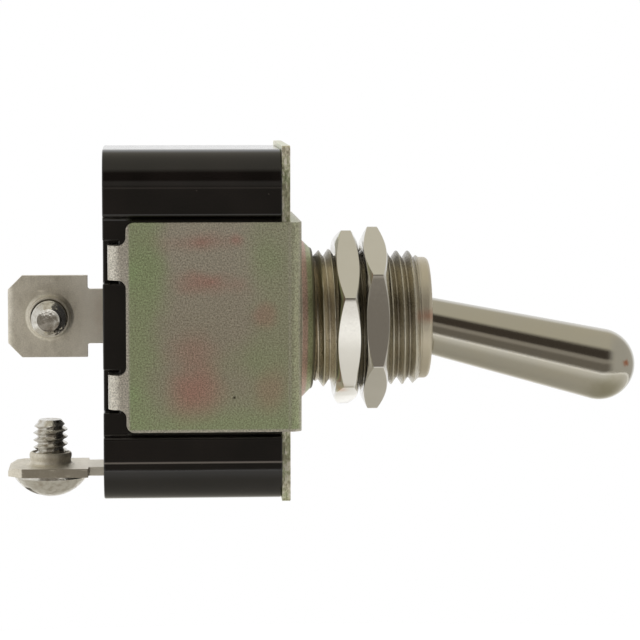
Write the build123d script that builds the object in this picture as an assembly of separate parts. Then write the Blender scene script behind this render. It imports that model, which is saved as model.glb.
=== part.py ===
from build123d import *
from math import atan2, cos, radians, sin, sqrt, tan
import os

# A single-pole panel toggle switch with a bat lever, a threaded bushing, a riveted steel strap
# round a phenolic case and two screw terminals.
# Frame: the origin is on the bushing's axis, in the outer face of the strap's web.
# +X runs along the bushing, out of the panel. +Z runs along the case's long side and is the way
# the lever is thrown to close the switch. The lever turns about an axis along Y.
# All lengths are in millimetres and all angles in degrees. The lever is modelled thrown down.

# Clearances and cutter overrun
running_gap = 0.05
seat_gap = 0.03
contact_gap = 0.12
overrun = 1.0

# Moulded case
case_length = 30.2
case_width = 17.5
case_depth = 15.3
case_corner_radius = 3.25
case_edge_chamfer = 0.15
case_wall = 1.45
case_end_wall = 1.9
case_floor = 2.0
cavity_corner_radius = 1.4
recess_side_gap = 0.42
recess_edge_radius = 0.35
tab_seat_margin = 0.35
tab_seat_depth = 0.43

# Steel strap: a flat web over the case's front and two side flanges with crimped tabs
strap_thickness = 0.95
strap_end_setback = 6.13
strap_bend_radius = 1.0
strap_bend_inner_radius = 0.15
flange_stand_off = 0.25
flange_back_setback = 1.98
flange_corner_radius = 0.7
tab_width = 2.95
tab_inset = 3.43
tab_root_radius = 0.7
tab_bend_radius = 1.1
tab_bend_inner_radius = 0.06
tab_fold_length = 2.9

# Cover plate under the strap, countersunk from behind for the bushing's staked tail
plate_thickness = 0.73
plate_overhang = 0.2
plate_rise = 0.15
plate_side_gap = 0.1
plate_corner_radius = 0.4
stake_flare = 0.55

# Insulating sheet under the plate, let into the case's rim
sheet_thickness = 0.4
sheet_margin = 0.6
sheet_hole_margin = 0.4

# Bushing
bushing_base_radius = 6.08
bushing_barrel_shoulder = 0.48
bushing_stem_relief = 0.16
bushing_thread_depth = 0.57
bushing_length = 11.6
bushing_nose_length = 0.85
bushing_nose_chamfer = 0.4
bushing_bore_relief = 0.6
bushing_tail_relief = 0.5
bushing_mouth_lip = 0.1
bushing_mouth_flare = 0.25

# Drawn collar round the bushing, part of the strap
collar_wall = 0.62
collar_height = 1.3
collar_flare = 1.1
collar_lip_chamfer = 0.2

# Hexagon nuts, chamfered on both faces
nut_across_flats = 14.0
nut_thickness = 2.05
nut_face_inset = 0.1
nut_chamfer_angle = 27.0
nut_bore_chamfer = 0.4
nut_gap = 0.42
inner_nut_setback = 1.9
inner_nut_turn = 43.25
outer_nut_turn = 27.5

# Lever: a ball in the bushing, a tapered handle outside and a hollow stub inside
throw_angle = 26.2
pivot_depth = 2.92
ball_radius = 3.6
handle_neck_radius = 2.34
handle_tip_radius = 3.17
handle_reach = 21.95
stub_radius = 1.9
stub_tip_gap = 2.41
stub_bore_radius = 1.25
stub_bore_start = 3.2
stub_chamfer = 0.25
lever_pin_radius = 0.8
lever_pin_overhang = 0.4

# Plunger and its spring, inside the lever's stub
plunger_tip_radius = 1.3
plunger_side_gap = 0.09
plunger_shank_length = 6.4
spring_wire_radius = 0.17
spring_side_gap = 0.15
spring_end_gap = 0.1
spring_turns = 5
spring_wire_sides = 6

# Rocker contact: a dished strip that tilts on two lugs
fulcrum_height = 3.08
rocker_tilt = 17.0
rocker_thickness = 0.9
rocker_width = 4.4
rocker_upper_shortfall = 2.4
rocker_end_radius = 1.2
dish_half_angle = 33.0
lug_radius = 0.45
lug_overhang = 0.35

# Contact buttons
button_radius = 1.6
button_height = 0.75
button_dome = 0.2
button_inset = 5.7
rivet_radius = 0.8
closed_contact_gap = 0.08

# Terminal tabs, the same outline for both
terminal_thickness = 0.77
terminal_width = 7.2
terminal_length = 7.0
terminal_neck_length = 1.42
terminal_neck_width = 4.78
terminal_corner_cut = 1.25
terminal_end_bevel = 0.3
terminal_end_bevel_length = 0.6
screw_hole_inset = 3.65
terminal_collar_wall = 0.27
terminal_collar_height = 1.1
terminal_collar_chamfer = 0.2
common_tab_offset = 0.0
common_tab_rise = 0.25
load_tab_inset = 2.3

# Inner ends of the terminals
cradle_thickness = 0.7
cradle_side_gap = 0.5
cradle_length = 4.6
cradle_ear_length = 3.2
cradle_ear_rise = 0.5
tenon_width = 2.6
shelf_side_inset = 0.15
shelf_bend_radius = 0.9
stop_post_width = 3.2
stop_post_length = 1.8

# Terminal screws
screw_radius = 1.52
screw_length = 4.72
screw_tip_chamfer = 0.4
head_radius = 3.24
head_height = 2.08
head_rim = 0.3
screw_slot_width = 0.9
screw_slot_depth = 0.95
load_slot_turn = 35.0
common_slot_turn = 60.0

# Strap and case, worked out from the sizes above
strap_width = case_width + 2 * flange_stand_off
strap_length = case_length - 2 * strap_end_setback
flange_inner = strap_width / 2 - strap_thickness
recess_floor = flange_inner - seat_gap
tab_spacing = strap_length - 2 * tab_inset
plate_front = -strap_thickness
plate_back = plate_front - plate_thickness
plate_width = 2 * (flange_inner - plate_side_gap)
plate_length = case_length + 2 * plate_overhang
case_front = plate_back
case_back = case_front - case_depth
cavity_floor = case_back + case_floor
cavity_width = 2 * (recess_floor - case_wall)
cavity_length = case_length - 2 * case_end_wall
flange_back = case_back + flange_back_setback
tab_face = case_back + tab_seat_depth

# Bushing, collar and nuts
bushing_barrel_radius = bushing_base_radius - bushing_barrel_shoulder
bushing_stem_radius = bushing_base_radius - bushing_stem_relief
bushing_nose_radius = bushing_stem_radius - bushing_thread_depth
bushing_stem_end = bushing_length - bushing_nose_length
stake_radius = bushing_barrel_radius + stake_flare
barrel_hole_radius = bushing_barrel_radius + seat_gap
collar_radius = barrel_hole_radius + collar_wall
nut_bore_radius = bushing_base_radius + running_gap
nut_face_radius = nut_across_flats / 2 - nut_face_inset
inner_nut_start = collar_height + inner_nut_setback
outer_nut_start = inner_nut_start + nut_thickness + nut_gap

# Lever and the bores that it moves in
half_throw = throw_angle / 2
pivot_x = bushing_length - pivot_depth
ball_seat_radius = ball_radius + 2 * running_gap
bushing_bore_radius = ball_seat_radius + bushing_bore_relief
bushing_tail_bore_radius = bushing_bore_radius + bushing_tail_relief
bushing_mouth_radius = ball_radius - bushing_mouth_lip
lever_pin_reach = ball_radius + lever_pin_overhang
sheet_hole_radius = bushing_tail_bore_radius + sheet_hole_margin

# Rocker, plunger and contacts
half_tilt = rocker_tilt / 2
tilt_share = rocker_tilt / throw_angle
fulcrum_x = cavity_floor + fulcrum_height
pivot_to_fulcrum = pivot_x - fulcrum_x
tip_centre_reach = pivot_to_fulcrum - rocker_thickness / 2 - contact_gap - plunger_tip_radius
shank_end_reach = tip_centre_reach - plunger_shank_length
stub_length = tip_centre_reach - stub_tip_gap
plunger_shank_radius = stub_bore_radius - plunger_side_gap
spring_coil_radius = stub_bore_radius - spring_side_gap - spring_wire_radius
button_place = case_length / 2 - button_inset
rocker_lower_reach = button_place + button_radius
rocker_upper_reach = rocker_lower_reach - rocker_upper_shortfall
cradle_width = rocker_width + 2 * (cradle_side_gap + cradle_thickness)
lug_reach = cradle_width / 2 + lug_overhang

# Terminals
terminal_shoulder = case_back - terminal_neck_length
terminal_end = terminal_shoulder - terminal_length
screw_hole_x = terminal_end + screw_hole_inset
screw_hole_radius = screw_radius + running_gap
terminal_collar_radius = screw_hole_radius + terminal_collar_wall
common_tab_y = common_tab_offset
common_tab_z = common_tab_rise
load_tab_z = load_tab_inset - case_length / 2
shelf_width = terminal_neck_width - 2 * shelf_side_inset


def block(x_range, y_range, z_range):
    """A box between two values on each axis."""
    sizes = [high - low for low, high in (x_range, y_range, z_range)]
    middles = [(high + low) / 2 for low, high in (x_range, y_range, z_range)]
    return Pos(*middles) * Box(*sizes)


def round_bar(radius, x_range):
    """A cylinder along X between two values of X."""
    low, high = x_range
    return Pos((low + high) / 2, 0, 0) * Rot(0, 90, 0) * Cylinder(radius, high - low)


def turned(points):
    """A solid turned about X from an outline of (x, radius) points."""
    return revolve(make_face(Polyline(*points, close=True)), Axis.X)


def side_profile(face, low, high):
    """A face drawn as (x, y), pulled along Z between two values."""
    return extrude(Pos(0, 0, low) * face, high - low)


def corner_vertices(sketch, x=None, y=None):
    """The corners of a sketch at a given value of its first or second coordinate."""
    tolerance = seat_gap / 10
    found = sketch.vertices()
    if x is not None:
        found = found.filter_by(lambda v: abs(abs(v.X) - abs(x)) < tolerance and v.X * x > 0)
    if y is not None:
        found = found.filter_by(lambda v: abs(abs(v.Y) - abs(y)) < tolerance)
    return found


def about_pivot(solid, angle):
    """Turn a solid about the lever's pivot. A positive angle lowers the handle."""
    return Pos(pivot_x, 0, 0) * Rot(0, angle, 0) * Pos(-pivot_x, 0, 0) * solid


def from_rocker(solid, tilt):
    """Place a solid drawn about the rocker's lugs, with x along its normal, at a tilt."""
    return Pos(fulcrum_x, 0, 0) * Rot(0, tilt, 0) * solid


# Strap
def strap_section():
    """The strap seen along Z: web, two flanges and the tabs folded over the case's back."""
    half = strap_width / 2
    outer = Pos(tab_face / 2, 0) * Rectangle(-tab_face, strap_width)
    outer = fillet(corner_vertices(outer, y=half).sort_by(Axis.X)[-2:], strap_bend_radius)
    outer = fillet(outer.vertices().sort_by(Axis.X)[:2], tab_bend_radius)
    inner_length = -tab_face - 2 * strap_thickness
    inner = Pos(tab_face / 2, 0) * Rectangle(inner_length, 2 * flange_inner)
    inner = fillet(inner.vertices().sort_by(Axis.X)[-2:], strap_bend_inner_radius)
    inner = fillet(inner.vertices().sort_by(Axis.X)[:2], tab_bend_inner_radius)
    fold_gap = strap_width - 2 * tab_fold_length
    opening = Pos(tab_face, 0) * Rectangle(2 * strap_thickness + overrun, fold_gap)
    return outer - inner - opening


def strap_side_outline():
    """The strap seen along Y, as (x, z): the flange with two tabs at its back edge."""
    half = strap_length / 2
    front = overrun
    sheet = Pos((front + flange_back) / 2, 0) * Rectangle(front - flange_back, strap_length)
    for side in (-1, 1):
        middle = (tab_face - overrun + flange_back) / 2
        length = flange_back - tab_face + overrun
        sheet += Pos(middle, side * tab_spacing / 2) * Rectangle(length, tab_width)
    corners = corner_vertices(sheet, x=flange_back)
    roots = corners.filter_by(lambda v: abs(v.Y) < half - seat_gap)
    sheet = fillet(roots, tab_root_radius)
    ends = corner_vertices(sheet, x=flange_back, y=half)
    return fillet(ends, flange_corner_radius)


def make_mounting_strap():
    body = side_profile(strap_section(), -strap_length / 2, strap_length / 2)
    outline = extrude(Plane.XZ * strap_side_outline(), strap_width, both=True)
    body = body & outline
    web_back = -strap_thickness
    flare_radius = collar_radius + collar_flare
    collar = turned(
        [
            (collar_height, barrel_hole_radius),
            (collar_height, collar_radius - collar_lip_chamfer),
            (collar_height - collar_lip_chamfer, collar_radius),
            (0, flare_radius),
            (web_back, flare_radius),
            (web_back, barrel_hole_radius),
        ]
    )
    body -= round_bar(flare_radius, (web_back - overrun, overrun))
    return body + collar


# Cover plate and insulating sheet
def make_cover_plate():
    outline = RectangleRounded(plate_width, plate_length, plate_corner_radius)
    plate = extrude(Plane.YZ.offset(plate_back) * Pos(0, plate_rise) * outline, plate_thickness)
    return plate - turned(
        [
            (plate_back, 0),
            (plate_back, stake_radius + seat_gap),
            (plate_front, barrel_hole_radius),
            (plate_front, 0),
        ]
    )


def sheet_size(clearance):
    """Width, length and corner radius of the sheet, or of its seat with a clearance."""
    width = 2 * (recess_floor - case_wall + sheet_margin + clearance)
    length = case_length - 2 * (case_end_wall - sheet_margin - clearance)
    return width, length, cavity_corner_radius + clearance


def make_insulating_sheet():
    outline = RectangleRounded(*sheet_size(0))
    sheet = extrude(Plane.YZ.offset(case_front - sheet_thickness) * outline, sheet_thickness)
    hole = round_bar(sheet_hole_radius, (case_front - overrun, overrun))
    return sheet - hole


# Case
def case_section():
    """The case seen along X, as (y, z): round corners and a recess for each flange."""
    half = strap_length / 2 + recess_side_gap
    section = RectangleRounded(case_width, case_length, case_corner_radius)
    depth = case_width / 2 - recess_floor
    for side in (-1, 1):
        middle = side * (recess_floor + (depth + overrun) / 2)
        section -= Pos(middle, 0) * Rectangle(depth + overrun, 2 * half)
    edges = section.vertices().filter_by(lambda v: abs(abs(v.Y) - half) < seat_gap)
    return fillet(edges, recess_edge_radius)


def make_case():
    body = extrude(Plane.YZ.offset(case_back) * case_section(), case_depth)
    body = chamfer(body.faces().sort_by(Axis.X)[0].edges(), case_edge_chamfer)
    cavity = RectangleRounded(cavity_width, cavity_length, cavity_corner_radius)
    body -= extrude(Plane.YZ.offset(cavity_floor) * cavity, case_depth)
    sheet_seat = RectangleRounded(*sheet_size(running_gap))
    body -= extrude(Plane.YZ.offset(case_front - sheet_thickness) * sheet_seat, case_depth)
    # Seats that let the folded tabs lie below the back
    seat_half = tab_width / 2 + tab_seat_margin
    seat_x = tab_face + strap_thickness + seat_gap
    seat_reach = strap_width / 2 - tab_fold_length - tab_seat_margin
    for side_y in (-1, 1):
        for side_z in (-1, 1):
            y_range = sorted((side_y * seat_reach, side_y * strap_width / 2))
            z_middle = side_z * tab_spacing / 2
            z_range = (z_middle - seat_half, z_middle + seat_half)
            body -= block((case_back - overrun, seat_x), y_range, z_range)
    # Slots for the terminals
    neck = terminal_neck_width / 2 + running_gap
    common_range = (common_tab_y - running_gap, common_tab_y + terminal_thickness + running_gap)
    load_range = (load_tab_z - terminal_thickness - running_gap, load_tab_z + running_gap)
    slot_x = (case_back - overrun, cavity_floor + overrun)
    body -= block(slot_x, common_range, (common_tab_z - neck, common_tab_z + neck))
    body -= block(slot_x, (-neck, neck), load_range)
    bend_end = cavity_floor + shelf_bend_radius + terminal_thickness
    bend_range = (load_range[0], load_range[1] + overrun)
    body -= block((cavity_floor, bend_end), (-neck, neck), bend_range)
    # Pocket for the fixed contact's rivet tail
    pocket = round_bar(rivet_radius + seat_gap, (cavity_floor - button_height, cavity_floor + overrun))
    body -= Pos(0, 0, fixed_button_z()) * pocket
    return body + stop_post()


def stop_post():
    """The moulded post that the raised end of the rocker rests over when the switch is off."""
    start = rocker_upper_reach - stop_post_length
    half = stop_post_width / 2
    post = block((cavity_floor - seat_gap, fulcrum_x), (-half, half), (start, start + stop_post_length))
    underside = arm_level() - rocker_thickness - contact_gap
    swept = block((underside, underside + case_depth), (-case_width, case_width), (0, case_length))
    return post - from_rocker(swept, -half_tilt)


# Bushing and nuts
def make_bushing():
    base_end = outer_nut_start + nut_thickness
    nose_edge = bushing_nose_radius - bushing_nose_chamfer
    outer = turned(
        [
            (plate_back, 0),
            (plate_back, stake_radius),
            (plate_front, bushing_barrel_radius),
            (collar_height, bushing_barrel_radius),
            (collar_height, bushing_base_radius),
            (base_end, bushing_base_radius),
            (base_end, bushing_stem_radius),
            (bushing_stem_end, bushing_stem_radius),
            (bushing_stem_end, bushing_nose_radius),
            (bushing_length - bushing_nose_chamfer, bushing_nose_radius),
            (bushing_length, nose_edge),
            (bushing_length, 0),
        ]
    )
    seat_start = pivot_x - ball_radius / 2
    hollow = round_bar(bushing_tail_bore_radius, (plate_back - overrun, collar_height))
    hollow += round_bar(bushing_bore_radius, (plate_back, seat_start))
    hollow += round_bar(ball_seat_radius, (seat_start - overrun, pivot_x))
    hollow += Pos(pivot_x, 0, 0) * Sphere(ball_seat_radius)
    hollow += round_bar(bushing_mouth_radius, (pivot_x, bushing_length + overrun))
    flare_start = bushing_length - bushing_mouth_flare
    hollow += turned(
        [
            (flare_start, 0),
            (flare_start, bushing_mouth_radius),
            (bushing_length + overrun, bushing_mouth_radius + bushing_mouth_flare + overrun),
            (bushing_length + overrun, 0),
        ]
    )
    slot_half = lever_pin_radius + running_gap
    slot_reach = lever_pin_reach + running_gap
    slots = block((seat_start - overrun, pivot_x), (-slot_reach, slot_reach), (-slot_half, slot_half))
    slots += Pos(pivot_x, 0, 0) * Rot(90, 0, 0) * Cylinder(slot_half, 2 * slot_reach)
    return outer - hollow - slots


def make_nut(start, turn):
    """A hexagon nut with its inner face at start, turned about the bushing's axis."""
    end = start + nut_thickness
    hexagon = RegularPolygon(nut_across_flats / 2, 6, major_radius=False)
    body = extrude(Plane.YZ.offset(start) * Rot(0, 0, turn) * hexagon, nut_thickness)
    ridge = nut_face_radius + nut_thickness / 2 / tan(radians(nut_chamfer_angle))
    middle = (start + end) / 2
    chamfers = turned(
        [(start, 0), (start, nut_face_radius), (middle, ridge), (end, nut_face_radius), (end, 0)]
    )
    entry = nut_bore_radius + nut_bore_chamfer
    bore = turned(
        [
            (start, 0),
            (start, entry),
            (start + nut_bore_chamfer, nut_bore_radius),
            (end - nut_bore_chamfer, nut_bore_radius),
            (end, entry),
            (end, 0),
        ]
    )
    return (body & chamfers) - bore


# Lever, drawn straight along X and then turned down about its pivot
def make_lever():
    tip_centre = handle_reach - handle_tip_radius
    taper = atan2(handle_tip_radius - handle_neck_radius, tip_centre)
    touch_x = pivot_x + tip_centre - handle_tip_radius * sin(taper)
    touch_radius = handle_tip_radius * cos(taper)
    with BuildSketch() as handle:
        with BuildLine():
            side = Line((pivot_x, handle_neck_radius), (touch_x, touch_radius))
            middle_angle = radians(45)
            bulge = (
                pivot_x + tip_centre + handle_tip_radius * cos(middle_angle),
                handle_tip_radius * sin(middle_angle),
            )
            nose = ThreePointArc(side @ 1, bulge, (pivot_x + handle_reach, 0))
            Polyline(nose @ 1, (pivot_x, 0), side @ 0)
        make_face()
    body = revolve(handle.sketch, Axis.X)
    body += Pos(pivot_x, 0, 0) * Sphere(ball_radius)
    stub_end = pivot_x - stub_length
    body += turned(
        [
            (stub_end, 0),
            (stub_end, stub_radius - stub_chamfer),
            (stub_end + stub_chamfer, stub_radius),
            (pivot_x, stub_radius),
            (pivot_x, 0),
        ]
    )
    body -= round_bar(stub_bore_radius, (stub_end - overrun, pivot_x - stub_bore_start))
    body -= Pos(pivot_x, 0, 0) * Rot(90, 0, 0) * Cylinder(lever_pin_radius, 2 * lever_pin_reach)
    return about_pivot(body, half_throw)


def make_lever_pin():
    pin = Pos(pivot_x, 0, 0) * Rot(90, 0, 0) * Cylinder(lever_pin_radius, 2 * lever_pin_reach)
    return about_pivot(pin, half_throw)


def make_plunger():
    centre = pivot_x - tip_centre_reach
    tip = Pos(centre, 0, 0) * Sphere(plunger_tip_radius)
    shank = round_bar(plunger_shank_radius, (centre, pivot_x - shank_end_reach))
    return about_pivot(tip + shank, half_throw)


def make_plunger_spring():
    """A wire coil between the bottom of the stub's bore and the plunger's shank."""
    start = pivot_x - shank_end_reach + spring_end_gap + spring_wire_radius
    end = pivot_x - stub_bore_start - spring_end_gap - spring_wire_radius
    pitch = (end - start) / spring_turns
    path = Helix(pitch, end - start, spring_coil_radius, center=(start, 0, 0), direction=(1, 0, 0))
    wire = RegularPolygon(spring_wire_radius, spring_wire_sides)
    section = Plane(origin=path @ 0, z_dir=path % 0) * wire
    return about_pivot(sweep(section, path=path, is_frenet=True), half_throw)


# Rocker contact, drawn about its lugs with x along its normal and z along the strip
def tip_path_point(lever_angle):
    """Where the plunger's tip centre lies in the rocker's own frame, as (normal, along)."""
    lever = radians(lever_angle)
    tilt = lever * tilt_share
    back = pivot_to_fulcrum - tip_centre_reach * cos(lever)
    side = tip_centre_reach * sin(lever)
    return back * cos(tilt) + side * sin(tilt), back * sin(tilt) - side * cos(tilt)


def dish():
    """Inner radius of the dished middle and its centre's distance from the lugs."""
    middle, _ = tip_path_point(0)
    edge, along = tip_path_point(half_throw)
    rise = edge - middle
    path_radius = (along**2 + rise**2) / (2 * rise)
    return path_radius + plunger_tip_radius + contact_gap, middle + path_radius


def arm_level():
    """Height of the arms' upper face above the lugs."""
    radius, centre = dish()
    return centre - radius * cos(radians(dish_half_angle))


def make_rocker_contact():
    radius, centre = dish()
    outer_radius = radius + rocker_thickness
    level = arm_level()
    edge = radius * sin(radians(dish_half_angle))
    under_edge = sqrt(outer_radius**2 - (centre - level + rocker_thickness) ** 2)
    half = rocker_width / 2
    with BuildSketch() as strip:
        with BuildLine():
            low = Line((level, -rocker_lower_reach), (level, -edge))
            bowl = RadiusArc(low @ 1, (level, edge), radius)
            high = Line(bowl @ 1, (level, rocker_upper_reach))
            cap = Line(high @ 1, (level - rocker_thickness, rocker_upper_reach))
            under_high = Line(cap @ 1, (level - rocker_thickness, under_edge))
            under = RadiusArc(under_high @ 1, (level - rocker_thickness, -under_edge), -outer_radius)
            under_low = Line(under @ 1, (level - rocker_thickness, -rocker_lower_reach))
            Line(under_low @ 1, low @ 0)
        make_face()
    section = Plane.XZ * strip.sketch
    body = extrude(section, half, both=True)
    plan_length = rocker_lower_reach + rocker_upper_reach
    plan = RectangleRounded(rocker_width, plan_length, rocker_end_radius)
    plan = Plane.YZ * Pos(0, (rocker_upper_reach - rocker_lower_reach) / 2) * plan
    body = body & extrude(plan, centre, both=True)
    body += Rot(90, 0, 0) * Cylinder(lug_radius, 2 * lug_reach)
    hole = Pos(0, 0, -button_place) * round_bar(rivet_radius, (-centre, centre))
    return from_rocker(body - hole, -half_tilt)


def domed_button(height, rivet_length):
    """A contact rivet along X: flat back at zero, crowned face at height, tail behind."""
    rim = height - button_dome
    tail = -rivet_length
    dome_radius = (button_radius**2 + button_dome**2) / (2 * button_dome)
    with BuildSketch() as profile:
        with BuildLine():
            side = Polyline((tail, 0), (tail, rivet_radius), (0, rivet_radius), (0, button_radius))
            wall = Line(side @ 1, (rim, button_radius))
            crown = RadiusArc(wall @ 1, (height, 0), dome_radius)
            Line(crown @ 1, side @ 0)
        make_face()
    return revolve(profile.sketch, Axis.X)


def make_moving_button():
    """The button on the underside of the rocker's lower arm, its crown towards the case's floor."""
    button = domed_button(button_height, rocker_thickness)
    level = arm_level() - rocker_thickness
    placed = Pos(level, 0, -button_place) * Rot(0, 180, 0) * button
    return from_rocker(placed, -half_tilt)


def closed_crown():
    """X and Z of the moving button's crown when the switch is closed."""
    tilt = radians(half_tilt)
    normal = arm_level() - rocker_thickness - button_height
    x = fulcrum_x + normal * cos(tilt) - button_place * sin(tilt)
    z = -normal * sin(tilt) - button_place * cos(tilt)
    return x, z


def fixed_button_z():
    return closed_crown()[1]


def make_fixed_button():
    """The button on the load terminal's shelf, under the closed place of the moving button."""
    shelf_top = cavity_floor + terminal_thickness
    height = closed_crown()[0] - closed_contact_gap - shelf_top
    return Pos(shelf_top, 0, fixed_button_z()) * domed_button(height, terminal_thickness)


# Terminals
def terminal_outline():
    """A terminal tab seen flat, as (x, width): neck, shoulders and two cut corners."""
    half = terminal_width / 2
    neck = terminal_neck_width / 2
    cut = terminal_corner_cut
    end = terminal_end
    return make_face(
        Polyline(
            (cavity_floor, -neck),
            (cavity_floor, neck),
            (terminal_shoulder, neck),
            (terminal_shoulder, half),
            (end + cut, half),
            (end, half - cut),
            (end, cut - half),
            (end + cut, -half),
            (terminal_shoulder, -half),
            (terminal_shoulder, -neck),
            close=True,
        )
    )


def flat_terminal():
    """A tab from z = 0 down, with a drawn and tapped collar that stands up round its screw."""
    tab = extrude(terminal_outline(), -terminal_thickness)
    bevel = make_face(
        Polyline(
            (terminal_end, 0),
            (terminal_end + terminal_end_bevel_length, 0),
            (terminal_end, -terminal_end_bevel),
            close=True,
        )
    )
    tab -= extrude(Plane.XZ * bevel, terminal_width, both=True)
    collar_length = terminal_collar_height + terminal_thickness
    middle_z = (terminal_collar_height - terminal_thickness) / 2
    collar = Pos(screw_hole_x, 0, middle_z) * Cylinder(terminal_collar_radius, collar_length)
    rim = collar.edges().filter_by(GeomType.CIRCLE).sort_by(Axis.Z)[-1]
    collar = chamfer(rim, terminal_collar_chamfer)
    hole = Pos(screw_hole_x, 0, 0) * Cylinder(screw_hole_radius, 2 * (collar_length + overrun))
    return tab + collar - hole


def make_common_terminal():
    """The middle terminal. Its face looks along -Y, and a tenon is staked through the cradle."""
    tab = Pos(0, common_tab_y, common_tab_z) * Rot(90, 0, 0) * flat_terminal()
    half = tenon_width / 2
    y_range = (common_tab_y, common_tab_y + terminal_thickness)
    return tab + block((cavity_floor - overrun, cavity_floor + cradle_thickness), y_range, (-half, half))


def make_load_terminal():
    """The end terminal. It bends inside the case into a shelf that carries the fixed contact."""
    tab = Pos(0, 0, load_tab_z) * flat_terminal()
    shelf_top = cavity_floor + terminal_thickness
    outer_z = load_tab_z - terminal_thickness
    shelf_end = fixed_button_z() + button_radius + shelf_side_inset
    with BuildSketch() as bend:
        with BuildLine():
            foot = Line((cavity_floor - overrun, outer_z), (shelf_top - shelf_bend_radius, outer_z))
            Polyline(
                foot @ 1,
                (shelf_top, outer_z + shelf_bend_radius),
                (shelf_top, shelf_end),
                (cavity_floor, shelf_end),
                (cavity_floor, load_tab_z),
                (cavity_floor - overrun, load_tab_z),
                foot @ 0,
            )
        make_face()
    shelf = extrude(Plane.XZ * bend.sketch, shelf_width / 2, both=True)
    rivet_hole = round_bar(rivet_radius, (cavity_floor - overrun, shelf_top + overrun))
    return tab + shelf - Pos(0, 0, fixed_button_z()) * rivet_hole


def make_fulcrum_cradle():
    """A U-shaped bracket whose two ears are notched to carry the rocker's lugs."""
    floor_top = cavity_floor + cradle_thickness
    half = cradle_width / 2
    ear_top = fulcrum_x + cradle_ear_rise
    body = block((cavity_floor, floor_top), (-half, half), (-cradle_length / 2, cradle_length / 2))
    for side in (-1, 1):
        y_range = sorted((side * half, side * (half - cradle_thickness)))
        body += block((cavity_floor, ear_top), y_range, (-cradle_ear_length / 2, cradle_ear_length / 2))
    notch_radius = lug_radius + running_gap
    notch = Pos(fulcrum_x, 0, 0) * Rot(90, 0, 0) * Cylinder(notch_radius, 2 * half + overrun)
    reach = half + overrun
    notch += block((fulcrum_x, ear_top + overrun), (-reach, reach), (-notch_radius, notch_radius))
    tenon_half = tenon_width / 2
    tenon_hole = block(
        (cavity_floor - overrun, floor_top + overrun),
        (common_tab_y, common_tab_y + terminal_thickness),
        (-tenon_half, tenon_half),
    )
    return body - notch - tenon_hole


# Terminal screws
def make_screw(slot_turn):
    """A slotted binding-head screw: head below zero, shank up along Z."""
    rim_z = -head_rim
    dome_rise = head_height - head_rim
    dome_radius = (head_radius**2 + dome_rise**2) / (2 * dome_rise)
    with BuildSketch() as profile:
        with BuildLine():
            tip = Polyline(
                (0, screw_length),
                (screw_radius - screw_tip_chamfer, screw_length),
                (screw_radius, screw_length - screw_tip_chamfer),
                (screw_radius, 0),
                (head_radius, 0),
                (head_radius, rim_z),
            )
            dome = RadiusArc(tip @ 1, (0, -head_height), dome_radius)
            Line(dome @ 1, tip @ 0)
        make_face()
    body = revolve(Plane.XZ * profile.sketch, Axis.Z)
    half = screw_slot_width / 2
    reach = head_radius + overrun
    slot_range = (-head_height - overrun, screw_slot_depth - head_height)
    slot = block((-reach, reach), (-half, half), slot_range)
    return body - Rot(0, 0, slot_turn) * slot


def make_load_screw():
    return Pos(screw_hole_x, 0, load_tab_z - terminal_thickness) * make_screw(load_slot_turn)


def make_common_screw():
    head_face = common_tab_y + terminal_thickness
    placed = Pos(screw_hole_x, head_face, common_tab_z) * Rot(90, 0, 0)
    return placed * make_screw(common_slot_turn)


makers = {
    "case": make_case,
    "insulating_sheet": make_insulating_sheet,
    "cover_plate": make_cover_plate,
    "mounting_strap": make_mounting_strap,
    "bushing": make_bushing,
    "inner_nut": lambda: make_nut(inner_nut_start, inner_nut_turn),
    "outer_nut": lambda: make_nut(outer_nut_start, outer_nut_turn),
    "lever": make_lever,
    "lever_pin": make_lever_pin,
    "plunger": make_plunger,
    "plunger_spring": make_plunger_spring,
    "rocker_contact": make_rocker_contact,
    "moving_contact_button": make_moving_button,
    "fixed_contact_button": make_fixed_button,
    "fulcrum_cradle": make_fulcrum_cradle,
    "common_terminal": make_common_terminal,
    "load_terminal": make_load_terminal,
    "common_screw": make_common_screw,
    "load_screw": make_load_screw,
}

os.makedirs("parts", exist_ok=True)
for name, maker in makers.items():
    solid = maker()
    solid.label = name
    export_step(solid, f"parts/{name}.step")
    print(name, "solids", len(solid.solids()), "volume", round(solid.volume, 2), "valid", solid.is_valid)
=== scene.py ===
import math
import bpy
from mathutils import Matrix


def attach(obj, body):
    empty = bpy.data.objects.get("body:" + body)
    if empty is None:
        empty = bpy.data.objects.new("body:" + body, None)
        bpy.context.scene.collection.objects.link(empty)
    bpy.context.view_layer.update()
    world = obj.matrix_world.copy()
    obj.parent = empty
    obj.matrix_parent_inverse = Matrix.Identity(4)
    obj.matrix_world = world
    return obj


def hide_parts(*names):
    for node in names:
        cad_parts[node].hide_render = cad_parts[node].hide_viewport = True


bl_info = {
    "name": "Panel toggle switch",
    "version": (1, 0, 0),
    "blender": (4, 5, 0),
    "location": "3D View > Sidebar > Toggle switch",
    "description": "Dresses the solids of a panel toggle switch with threads, worn edges and plated finishes",
    "category": "Object",
}

import bmesh
import bpy
from mathutils import Matrix, Vector

# The solids stay the measure for every piece below.
# +X runs out of the panel along the bushing, +Z along the case's long side, and the camera looks along +Y.
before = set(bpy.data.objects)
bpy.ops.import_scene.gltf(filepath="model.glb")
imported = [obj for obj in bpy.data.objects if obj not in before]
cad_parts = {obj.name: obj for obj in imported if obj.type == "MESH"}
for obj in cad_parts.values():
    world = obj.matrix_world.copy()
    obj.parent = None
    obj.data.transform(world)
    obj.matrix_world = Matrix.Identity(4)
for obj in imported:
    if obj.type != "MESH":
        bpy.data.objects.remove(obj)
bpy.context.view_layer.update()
MM = 0.001

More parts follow.
